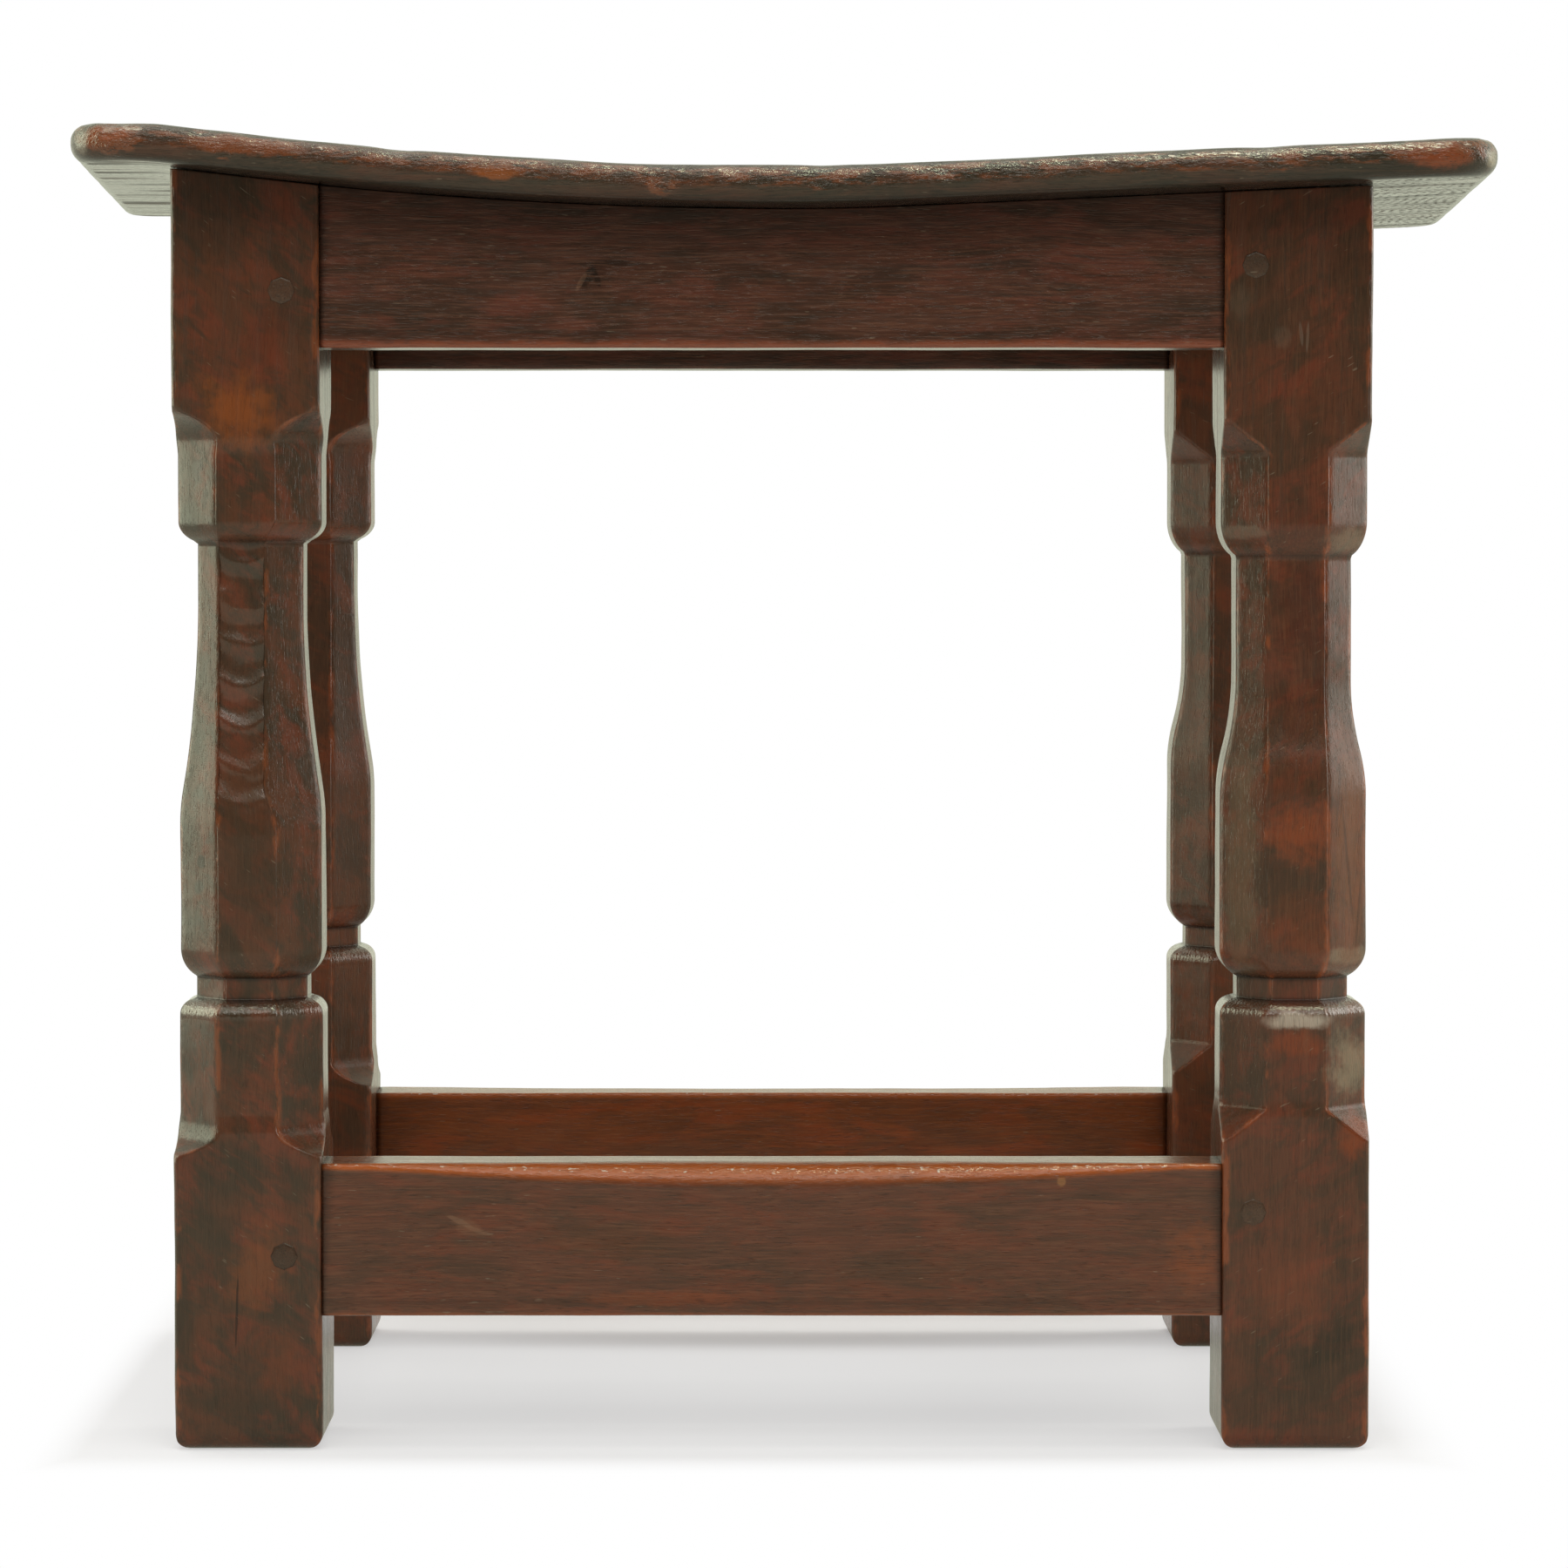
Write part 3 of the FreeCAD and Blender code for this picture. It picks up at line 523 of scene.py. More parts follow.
def addOutlines(add, given, height):
    # Half widths across the flats and across the corners, each stage of the outline in turn, and where
    # the flare turns from bulge to hollow
    gap = {}
    for label, less in (("Half width", "Foot round"), ("Low drum", "Half width"), ("Neck foot", "Drum top"),
                        ("Neck", "Drum"), ("Neck corner", "Drum"), ("Groove", "Low drum"), ("Drum", "Groove"),
                        ("Cap", "Neck"), ("Cap", "Neck corner"), ("Half width", "Cap")):
        gap[label, less] = add("Math SUBTRACT", [given[label], given[less]])
    steps = {}
    for label, pair in (("Block line", ("Low drum", "Half width")), ("Cap line", ("Half width", "Cap"))):
        ends = [add("Math ADD", [given[label], side * legMesh["stepWidth"]]) for side in (-0.5, 0.5)]
        steps[label] = add("MapRange", [height, *ends, 0.0, gap[pair]])
    reach = add("Math MULTIPLY", [given["Half width"], math.sqrt(2)])
    reach = add("Math SUBTRACT", [reach, given["Arris flat"]])

    # Flats start with the rounded foot and step in at the block line
    flat = addStage(add, gap["Half width", "Foot round"], height, 0.0, given["Foot round"],
                    given["Foot round"], legMesh["footArc"], "high")
    flat = add("Math ADD", [flat, steps["Block line"]])
    # Corners start at the arris of the block and run in over the chamfer stop
    change = add("Math SUBTRACT", [given["Low drum"], reach])
    way = add("MapRange", [height, given["Low stop"], given["Block line"], 1.0, 0.0])
    way = add("Math POWER", [way, given["Stop power"]])
    way = add("Math SUBTRACT", [1.0, way])
    corner = add("Math MULTIPLY_ADD", [way, change, reach])
    flare = gap["Neck foot", "Drum top"]
    turnHeight = add("Math MULTIPLY_ADD", [flare, given["Flare turn"], given["Drum top"]])
    outlines = []
    for width, neck in ((flat, "Neck"), (corner, "Neck corner")):
        bulge = add("Math MULTIPLY", [gap[neck, "Drum"], given["Flare turn"]])
        hollow = add("Math SUBTRACT", [gap[neck, "Drum"], bulge])
        stages = [
            (given["Low drum top"], given["Groove foot"], gap["Groove", "Low drum"], "grooveArc", "low"),
            (given["Groove top"], given["Drum foot"], gap["Drum", "Groove"], "drumArc", "high"),
            (given["Drum top"], turnHeight, bulge, "flareArc", "low"),
            (turnHeight, given["Neck foot"], hollow, "flareArc", "high"),
            (given["Neck top"], given["Cap foot"], gap["Cap", neck], "capArc", "high"),
        ]
        for low, high, change, arc, uprightEnd in stages:
            width = addStage(add, width, height, low, high, change, legMesh[arc], uprightEnd)
        outlines.append(width)
    flat = add("Math ADD", [outlines[0], steps["Cap line"]])
    way = add("MapRange", [height, given["Cap line"], given["High stop"], 0.0, 1.0])
    way = add("Math POWER", [way, given["Stop power"]])
    change = add("Math SUBTRACT", [reach, given["Cap"]])
    return flat, add("Math MULTIPLY_ADD", [way, change, outlines[1]]), turnHeight


def addSection(add, given, around, height, along):
    # Where each point of the sheet goes, and how near it is to an arris: a quarter of the section is a flat,
    # then the chamfer beside it
    flat, corner, turnHeight = addOutlines(add, given, height)
    half = add("Math MULTIPLY", [corner, math.sqrt(2)])
    half = add("Math SUBTRACT", [half, flat])
    half = add("Math MINIMUM", [half, flat])
    quarter = add("Math FLOOR", [around])
    share = add("Math FRACT", [around])
    onFlat, onChamfer = [add("MapRange", [share, *part, 0.0, 1.0], interpolation_type="SMOOTHSTEP")
                         for part in ((0.0, legMesh["flatShare"]), (legMesh["flatShare"], 1.0))]
    # One corner of a neck may be cut deeper than the others: the one between the first two quarters
    rises = add("MapRange", [height, given["Drum top"], turnHeight, 0.0, 1.0])
    falls = add("MapRange", [height, given["Neck top"], given["Cap foot"], 1.0, 0.0])
    deeper = add("Math MULTIPLY", [rises, falls])
    deeper = add("Math MULTIPLY", [deeper, given["Neck skew"]])
    ends = []
    for number in (1.0, 0.0):
        here = add("Math COMPARE", [quarter, number, 0.1])
        less = add("Math MULTIPLY", [deeper, here])
        ends.append(add("Math SUBTRACT", [half, less]))
    before, half = ends
    cut = add("Math SUBTRACT", [flat, half])
    length = add("Math ADD", [before, half])
    out = add("Math MULTIPLY", [cut, onChamfer])
    sectionX = add("Math MULTIPLY_ADD", [length, onFlat, out])
    sectionX = add("Math SUBTRACT", [sectionX, before])
    section = add("CombineXYZ", [sectionX, add("Math SUBTRACT", [out, flat])])
    # The ends are closed by drawing the first and last rows in to the axis
    closeLow = add("MapRange", [along, 0.0, legMesh["capShare"], 0.0, 1.0])
    closeHigh = add("MapRange", [along, 1 - legMesh["capShare"], 1.0, 1.0, 0.0])
    closing = add("Math MULTIPLY", [closeLow, closeHigh])
    section = add("VectorMath SCALE", {0: section, "Scale": closing})
    angle = add("Math MULTIPLY", [quarter, math.pi / 2])
    section = add("VectorRotate", {"Vector": section, "Angle": angle}, rotation_type="Z_AXIS")
    # The head ends under the slope of the seat
    slope = add("SeparateXYZ", [section])
    slope = add("Math MULTIPLY", [slope, given["Top slope"]])
    headShare = add("MapRange", [height, given["High stop"], given["Top height"], 0.0, 1.0])
    level = add("Math MULTIPLY_ADD", [slope, headShare, height])
    spot = add("VectorMath ADD", [section, add("CombineXYZ", {2: level})])

    away = []
    for share, width in ((onFlat, length), (onChamfer, cut)):
        rest = add("Math SUBTRACT", [1.0, share])
        rest = add("Math MINIMUM", [rest, share])
        away.append(add("Math MULTIPLY", [rest, width]))
    away = add("Math MAXIMUM", away)
    return spot, add("MapRange", [away, 0.0, legMesh["arrisReach"], 1.0, 0.0])


def addHandWork(add, given, spot, normal):
    # How much is cut away at each point, and how polished it is: soft arrises, hewn faces and ripples
    shift = add("VectorMath SCALE", {0: given["Centre"], "Scale": given["Seed"]})
    shift = add("VectorMath ADD", [spot, shift])
    sizes = ((legMesh["hewingLength"], 2.0), (ripple["wanderLength"], 2.0), (ripple["patchLength"], 1.0))
    hewn, wander, patchy = [add("TexNoise", {"Vector": shift, "Scale": 1 / size, "Detail": detail})
                            for size, detail in sizes]
    for operation, value in (("SUBTRACT", 0.5), ("MULTIPLY", given["Hewing depth"]), ("MULTIPLY", 2.0)):
        hewn = add("Math " + operation, [hewn, value])
    soft = add("GeometryNodeInputNamedAttribute", {"Name": "wear"}, data_type="FLOAT")
    soft = add("Math POWER", [soft, legMesh["arrisPower"]])
    soft = add("Math MULTIPLY", [soft, given["Arris wear"]])

    bow, _, level = add("SeparateXYZ", [spot]).outputs
    for operation, value in (("SUBTRACT", ripple["middle"]), ("DIVIDE", legShape["Half width"]),
                             ("POWER", 2.0)):
        bow = add("Math " + operation, [bow, value])
    wave = add("Math MULTIPLY_ADD", [bow, ripple["bow"], level])
    wave = add("Math MULTIPLY", [wave, math.pi / ripple["pitch"]])
    wave = add("Math MULTIPLY_ADD", [wander, ripple["wander"], wave])
    wave = add("Math ABSOLUTE", [add("Math SINE", [wave])])
    patchy = add("MapRange", [patchy, *ripple["patches"]])
    zone = add("SeparateXYZ", [normal]).outputs[1]
    zone = add("MapRange", [zone, *ripple["facing"], 0.0, 1.0])
    low, high = ripple["low"], ripple["high"]
    starts = add("MapRange", [level, low, low + ripple["fadeIn"], 0.0, 1.0])
    ends = add("MapRange", [level, high - ripple["fadeOut"], high, 1.0, 0.0])
    for factor in (starts, ends, given["Ripple depth"]):
        zone = add("Math MULTIPLY", [zone, factor])
    # The rippled face and the round shoulder above the stretchers are the most polished
    shoulder = add("Math SUBTRACT", [level, given["Groove foot"]])
    shoulder = add("MapRange", [shoulder, *legMesh["shoulder"]])
    above = add("Math LESS_THAN", [level, given["Groove foot"]])
    shoulder = add("Math MULTIPLY", [shoulder, above])
    shine = add("Math MULTIPLY", [zone, ripple["polish"]], use_clamp=True)
    shine = add("Math MAXIMUM", [shine, shoulder])
    taken = add("Math ADD", [hewn, soft])
    for factor in (patchy, zone):
        wave = add("Math MULTIPLY", [wave, factor])
    taken = add("Math ADD", [taken, wave])
    # The foot stands flat
    sound = add("MapRange", [level, 0.0, legMesh["soundHeight"], 0.0, -1.0])
    return add("Math MULTIPLY", [taken, sound]), shine


def balusterTree():
    labels = ["Top height", "Top slope", "Seed", *legFinish, *legShape, *legHands["left"]]
    tree, add, given = newTree("Octagonal baluster", {
        "Centre": "Vector", **dict.fromkeys(labels, "Float"), "Wood": "Material"})
    grid = add("GeometryNodeMeshGrid", [1.0, 1.0, legMesh["columns"] + 1, legMesh["rows"] + 1])
    across, up, _ = add("SeparateXYZ", [add("GeometryNodeInputPosition")]).outputs
    around = add("Math MULTIPLY_ADD", [across, 4.0, 2.0])   # quarters of the section
    along = add("Math ADD", [up, 0.5])
    curve = add("FloatCurve", {"Value": along})
    points = curve.mapping.curves[0].points
    top = legRows[-1][1]
    for share, level in legRows[1:-1]:
        points.new(share, level / top)
    for item, (share, level) in zip(points, legRows):
        item.location = (share, level / top)
        item.handle_type = "VECTOR"
    curve.mapping.update()
    height = add("Math MULTIPLY", [curve, given["Top height"]])
    spot, arris = addSection(add, given, around, height, along)

    # Darker lines at the groove and above the neck, and painted shade down from the top under the seat
    darkening = 0.0
    for label, spread, strength in legDarkening:
        line = add("Math SUBTRACT", [height, given[label]])
        line = add("MapRange", [add("Math ABSOLUTE", [line]), 0.0, spread, strength, 0.0])
        darkening = add("Math MAXIMUM", [darkening, line])
    shaped = grid
    for label, values in (("wear", arris), ("grime", darkening)):
        shaped = add("GeometryNodeStoreNamedAttribute", {"Geometry": shaped, "Name": label, 3: values},
                     data_type="FLOAT", domain="POINT")
    shaped = add("GeometryNodeSetPosition", {"Geometry": shaped, "Position": spot})
    shaped = add("GeometryNodeMergeByDistance", {"Geometry": shaped, "Distance": legMesh["merge"]})
    normal = add("GeometryNodeInputNormal")
    taken, shine = addHandWork(add, given, add("GeometryNodeInputPosition"), normal)
    shaped = add("GeometryNodeStoreNamedAttribute", {"Geometry": shaped, "Name": "polish", 3: shine},
                 data_type="FLOAT", domain="POINT")
    flatWay = add("VectorMath MULTIPLY", [normal, (1.0, 1.0, 0.0)])
    offset = add("VectorMath SCALE", {0: flatWay, "Scale": taken})
    shaped = add("GeometryNodeSetPosition", {"Geometry": shaped, "Offset": offset})
    shaped = add("GeometryNodeTransform", {"Geometry": shaped, "Translation": given["Centre"]})
    shaped = add("GeometryNodeTransform", {"Geometry": shaped, "Scale": (mm, mm, mm)})
    shaped = add("GeometryNodeSetShadeSmooth", {"Geometry": shaped})
    shaped = add("GeometryNodeRealizeInstances", {"Geometry": shaped})
    shaped = add("GeometryNodeSetMaterial", {"Geometry": shaped, "Material": given["Wood"]})
    add("NodeGroupOutput", [shaped])
    return tree


def makeLegs():
    tree = balusterTree()
    half = stool["legWidth"] / 2
    seed = 1.0
    for hand, xSide in (("left", -1), ("right", 1)):
        for end, ySide in (("front", -1), ("back", 1)):
            x = stool["middle"] + xSide * (stool["length"] / 2 - half)
            y = ySide * (stool["depth"] / 2 - half)
            tops = stool["undersideHeight"] + dishRise([x - half, x + half])
            settings = {**legShape, **legHands[hand], **legFinish, "Centre": (x, y, 0.0), "Seed": seed,
                        "Top height": float(tops.mean()) - stool["clearance"],
                        "Top slope": float(tops[1] - tops[0]) / (2 * half),
                        "Wood": oak[hand + " leg" if end == "front" else "back legs"]}
            if (hand, end) == ("left", "front"):
                settings.update(rippledNeck)
            leg = fromTree(end + "_" + hand + "_leg", tree, settings)
            dress(leg, "leg_" + end + "_" + hand)
            seed += 1.0
            print("leg:", leg.name, len(leg.data.polygons), "faces")


makeLegs()


# Rails and stretchers, sawn and planed, with their tenons
member = {
    "railHeight": 43.9, "railSetback": 2.0, "stretcherFoot": 42.8, "stretcherHeight": 48.5,
    "backStretcherHeight": 46.1, "stretcherSetback": 1.0, "thickness": 22.0,
    "arris": 1.2, "topArris": 0.3, "tenonArris": 0.4, "tenonLength": 27.0, "tenonInset": 7.0,
    "tenonThickness": 10.0, "tenonShoulder": 4.0, "haunch": 12.0,
    "wornRadius": 7.7, "wornMargin": 14.0,   # of the upper outer arris, which feet have worn
    "step": 1.8, "sidePoints": (9, 18, 9, 26), "arcPoints": 5,
    "wave": 45.0, "waveDepth": 0.28, "fineWave": 12.0, "fineDepth": 0.12, "waveMargin": 4.0,
    "edgeWaveShare": 0.6,
}
# How far wear, darkening and painted glints reach from an edge, and how strong they are
memberWear = {
    "lowReach": 3.0, "railLow": 1.3, "stretcherLow": 0.7, "wornFringe": 2.0, "worn": 1.3, "innerReach": 3.5,
    "topDepth": 0.5, "top": 0.45, "paintedGlintFrom": 0.8, "paintedGlint": 0.92,
    "endReach": 1.5, "endSpread": 5.0, "end": 0.7,
    # The dark band under the board is painted shade, the board's shadow on the top of a rail
    "shadeDepth": 26.0, "smoke": 0.55, "shadePower": 1.5,   # of the dark band under the board
    "lineHeight": 4.5, "lineReach": 2.5, "line": 0.35,
}


def placeMember(side, u, v, z):
    # From along and inwards, seen from outside a side of the frame, to the stool's own axes
    halfDepth, halfLength = stool["depth"] / 2, stool["length"] / 2
    spots = {
        "front": (u, v - halfDepth), "back": (-u, halfDepth - v),
        "left": (v - halfLength, -u), "right": (halfLength - v, u),
    }
    x, y = spots[side]
    return np.stack([x + stool["middle"], y, z], axis=-1)


def roundedSection(corners, radii):
    # Corners run round the section; each side has as many points as the member says
    points = []
    for index, corner in enumerate(corners):
        following = (index + 1) % len(corners)
        before = np.subtract(corners[index - 1], corner)
        after = np.subtract(corners[following], corner)
        before = before / np.linalg.norm(before)
        after = after / np.linalg.norm(after)
        radius = radii[index]
        centre = np.add(corner, (before + after) * radius)
        for step in range(member["arcPoints"] + 1):
            angle = math.pi / 2 * step / member["arcPoints"]
            points.append(centre - after * radius * math.cos(angle) - before * radius * math.sin(angle))
        start = np.add(corner, after * radius)
        end = np.subtract(corners[following], after * radii[following])
        for step in range(1, member["sidePoints"][index]):
            points.append(start + (end - start) * step / member["sidePoints"][index])
    return np.array(points)


def memberMarks(isRail, v, z, worn, low, high, setback, inner, fromEnd):
    # Wear, darkening and painted glints at the points of one ring. The darkening is painted shade under the
    # board on a rail, and is also darker near the ends and along a line above the lower edge
    mark = memberWear
    edge = np.hypot(v - setback, z - low)
    wear = np.clip(mark["railLow" if isRail else "stretcherLow"] - edge / mark["lowReach"], 0, 1)
    if not isRail:
        outer = 1 - np.hypot(v - setback, z - high) / (worn + mark["wornFringe"])
        wear = np.maximum(wear, np.clip(outer, 0, 1) * mark["worn"])
        wear = np.maximum(wear, np.clip(1 - np.hypot(v - inner, z - high) / mark["innerReach"], 0, 1))
        wear = np.maximum(wear, np.where(z > high - mark["topDepth"], mark["top"], 0))
    tall = (z - low) / (high - low)
    ends = np.clip(1 - fromEnd / (mark["endReach"] + mark["endSpread"] * tall), 0, 1) * mark["end"]
    # Painted shade: the board's shadow darkens the top of a rail
    under = np.clip(1 - (high - z) / mark["shadeDepth"], 0, 1) ** mark["shadePower"] * mark["smoke"] * isRail
    line = np.clip(1 - abs(z - low - mark["lineHeight"]) / mark["lineReach"], 0, 1) * mark["line"]
    grime = np.maximum(np.maximum(ends, under), line)
    paintedGlint = np.where((wear > mark["paintedGlintFrom"]) & (z > high - worn), mark["paintedGlint"], 0.0)
    return wear, grime, paintedGlint


def makeMember(kind, side, material, seed):
    isRail = kind == "rail"
    shoulder = (stool["length"] if side in ("front", "back") else stool["depth"]) / 2 - stool["legWidth"]
    setback = member[kind + "Setback"]
    inner = setback + member["thickness"]
    bottom = stool["undersideHeight"] - member["railHeight"] if isRail else member["stretcherFoot"]
    stations = np.linspace(-shoulder, shoulder, int(2 * shoulder / member["step"]) + 1)
    x = placeMember(side, stations, 0 * stations + inner / 2, 0 * stations)[:, 0]
    if isRail:
        tops = stool["undersideHeight"] + dishRise(x) - stool["clearance"]
    else:
        tops = bottom + member["backStretcherHeight" if side == "back" else "stretcherHeight"] + 0 * stations
    rings = []
    marks = []
    for u, top in zip(stations, tops):
        worn = member["arris"]
        if not isRail:
            reach = np.clip(abs(u) / (shoulder - member["wornMargin"]), 0, 1)
            worn += (member["wornRadius"] - worn) * (1 - reach ** 2)
        radii = [member["arris"]] * 2 + ([member["topArris"]] * 2 if isRail else [member["arris"], worn])
        section = roundedSection([(setback, bottom), (inner, bottom), (inner, top), (setback, top)], radii)
        v, z = section.T
        rings.append(placeMember(side, u + 0 * v, v, z))
        marks.append(memberMarks(isRail, v, z, worn, bottom, top, setback, inner, shoulder - abs(u)))
    rings = np.array(rings)
    # Hand planing leaves the faces a little wavy, but not at the shoulders
    flatRings = rings.reshape(-1, 3)
    waves = unevenness(flatRings, member["wave"], member["waveDepth"], seed)
    waves += unevenness(flatRings, member["fineWave"], member["fineDepth"], seed)
    waves = waves.reshape(rings.shape[:2])
    waves *= np.clip((shoulder - abs(stations)) / member["waveMargin"], 0, 1)[:, None]
    inwards = placeMember(side, 0.0, 1.0, 0.0) - placeMember(side, 0.0, 0.0, 0.0)
    depth = (rings - placeMember(side, 0.0, 0.0, 0.0)) @ inwards
    outerShare = np.clip((inner - depth) / member["thickness"], 0, 1) * 2 - 1
    rings += inwards * (waves * outerShare)[:, :, None]
    edgeShare = (rings[:, :, 2] - bottom) / (tops[:, None] - bottom) * 2 - 1
    if isRail:
        edgeShare = np.minimum(edgeShare, 0)   # its upper edge stays under the board
    rings[:, :, 2] += waves * edgeShare * member["edgeWaveShare"]
    # Tenons are two more rings at each end
    high = stool["undersideHeight"] - member["haunch"] if isRail else tops[0] - member["tenonShoulder"]
    low = bottom + member["tenonShoulder"]
    face = member["tenonInset"]
    cheek = face + member["tenonThickness"]
    corners = [(face, low), (cheek, low), (cheek, high), (face, high)]
    v, z = roundedSection(corners, [member["tenonArris"]] * 4).T
    tip = shoulder + member["tenonLength"]
    farLeft, nearLeft, nearRight, farRight = [placeMember(side, u + 0 * v, v, z)
                                              for u in (-tip, -shoulder, shoulder, tip)]
    allRings = np.concatenate([[farLeft, nearLeft], rings, [nearRight, farRight]])
    count = allRings.shape[1]
    faces = []
    for ring in range(len(allRings) - 1):
        for index in range(count):
            a, b = ring * count + index, ring * count + (index + 1) % count
            faces.append((a, b, b + count, a + count))
    last = (len(allRings) - 1) * count
    faces.append(tuple(reversed(range(count))))
    faces.append(tuple(range(last, last + count)))
    blank = np.zeros(2 * count)
    attributes = {}
    for label, values in zip(("wear", "grime", "paintedGlint"), zip(*marks)):
        attributes[label] = np.concatenate([blank, *values, blank])
    piece = makePiece(side + "_" + kind, allRings.reshape(-1, 3), faces, attributes, material)
    dress(piece, kind + "_" + side)
    print("member:", piece.name, len(faces), "faces")


for number, side in enumerate(("front", "back", "left", "right")):
    acrossGrain = "side " if side in ("left", "right") else ""
    makeMember("rail", side, oak[acrossGrain + "rails"], 3.0 + number)
    makeMember("stretcher", side, oak["back stretcher" if side == "back" else acrossGrain + "stretchers"],
               13.0 + number)


# Seat board: flaring outline, round corners, a nosing above and below, hollowed along its length
seat = {
    "thickness": 12.2, "frontHalf": 222.55, "backHalf": 242.9, "halfDepth": 151.5,
    "frontCorner": 21.0, "backCorner": 14.0, "topNosing": 5.2, "bottomNosing": 5.8,
    "along": 260, "across": 116, "cornerSteps": 7, "nosingSteps": 7,
    "rippleLength": 6.0, "rippleDepth": 0.7, "rippleTilt": 40, "faceShare": 0.03,
    "hewingLength": 32.0, "hewingDepth": 0.7, "hewingLift": 0.1, "lowerShare": 0.3, "upperShare": 0.8,
    "rimWidth": 0.4, "rimWear": 1.5, "dentShine": 0.6,   # of a dent
    # Wear: its tilt, how fast it fades from there, how much there is and how much more in front
    "wearTilt": 30, "wearFocus": 1.7, "wear": 0.75, "frontWear": 0.35,
    # Darker above a tilt at the top of the edge; painted shade on the lower nosing below a tilt, spreading
    # over this many degrees, and under the board
    "topDarkTilt": 60, "topDark": 0.5, "lowShadeTilt": -5, "lowShadeSpread": 60, "lowShade": 0.6,
    # Painted glints, pale flecks for the lamps glinting on the chipped gloss along the upper front: their
    # tilt, and how they crowd from left to right
    "paintedGlintFront": 0.9, "paintedGlintTilt": 38, "paintedGlintSpread": 36, "paintedGlintMost": 1.2,
    "crowdPlaces": [-242, -160, -40, 100, 125, 205, 215],
    "crowdShares": [0.94, 0.9, 0.92, 0.93, 1.06, 1.06, 0.9],
    # Where a face starts, where the edge's lower half starts, and how far from the ends saw marks stop
    "faceTilt": 80, "lowerTilt": -10, "sawnMargin": 3.0,
}
# Dents in the edge and the top: where, how wide and how deep
seatDents = [((-208.0, -150.0, 417.5), 6.5, 1.3), ((-200.0, -150.0, 419.0), 3.0, 0.7),
             ((-181.0, -150.0, 414.5), 3.0, 0.6), ((-174.0, -151.0, 411.0), 3.5, 0.6),
             ((-162.0, -151.0, 411.5), 3.0, 0.5), ((-120.0, -149.0, 411.0), 6.0, 0.7),
             ((-38.0, -151.0, 400.5), 4.0, 0.9), ((12.0, -150.0, 404.5), 6.0, 0.5),
             ((49.5, -151.0, 403.5), 2.5, 0.9), ((150.0, -150.0, 410.5), 7.0, 0.6),
             ((214.0, -150.0, 412.5), 4.0, 0.9), ((-60.0, -40.0, 407.0), 14.0, 0.7),
             ((90.0, 30.0, 409.0), 18.0, 0.8), ((-150.0, 70.0, 416.0), 12.0, 0.6)]


def seatOutline():
    # Points and outward directions from the middle of the front left corner, round the board
    front, back, deep = seat["frontHalf"], seat["backHalf"], seat["halfDepth"]
    corners = np.array([(-front, -deep), (front, -deep), (back, deep), (-back, deep)])
    arcs = []
    for index, key in enumerate(("frontCorner", "frontCorner", "backCorner", "backCorner")):
        before = corners[index - 1] - corners[index]
        after = corners[(index + 1) % 4] - corners[index]
        # The outward directions of the sides before and after the corner, as angles
        first = math.atan2(before[0], -before[1])
        last = math.atan2(-after[0], after[1])
        if last < first:
            last += 2 * math.pi
        before /= np.linalg.norm(before)
        after /= np.linalg.norm(after)
        middle = (before + after) / np.linalg.norm(before + after)
        sine = math.sqrt((1 - before @ after) / 2)
        arcs.append((corners[index] + middle * seat[key] / sine, seat[key], first, last))
    points = []
    normals = []
    half = seat["cornerSteps"]
    for index, steps in enumerate([seat["along"], seat["across"]] * 2):
        # The second half of a corner, the side after it and the first half of the next corner
        centre, radius, first, last = arcs[index]
        nextCentre, nextRadius, nextFirst, nextLast = arcs[(index + 1) % 4]
        run = []
        for step in range(half):
            run.append((centre, radius, (first + last) / 2 + (last - first) / 2 * step / half))
        for share in np.arange(steps - 2 * half) / (steps - 2 * half):
            run.append((centre + (nextCentre - centre) * share, radius + (nextRadius - radius) * share, last))
        for step in range(half):
            run.append((nextCentre, nextRadius, nextFirst + (nextLast - nextFirst) / 2 * step / half))
        for place, reach, angle in run:
            normals.append(np.array([math.cos(angle), math.sin(angle)]))
            points.append(place + normals[-1] * reach)
    return np.array(points), np.array(normals)


def coons(loop):
    # A grid of places that the closed loop bounds
    along, across = seat["along"], seat["across"]
    front = loop[:along + 1]
    right = loop[along:along + across + 1]
    back = loop[along + across:2 * along + across + 1][::-1]
    left = np.concatenate([loop[2 * along + across:], loop[:1]])[::-1]
    s = np.linspace(0, 1, along + 1)[:, None, None]
    t = np.linspace(0, 1, across + 1)[None, :, None]
    ruled = (1 - t) * front[:, None] + t * back[:, None] + (1 - s) * left[None] + s * right[None]
    flatPart = ((1 - s) * (1 - t) * front[0] + s * (1 - t) * front[-1]
                + (1 - s) * t * back[0] + s * t * back[-1])
    return ruled - flatPart


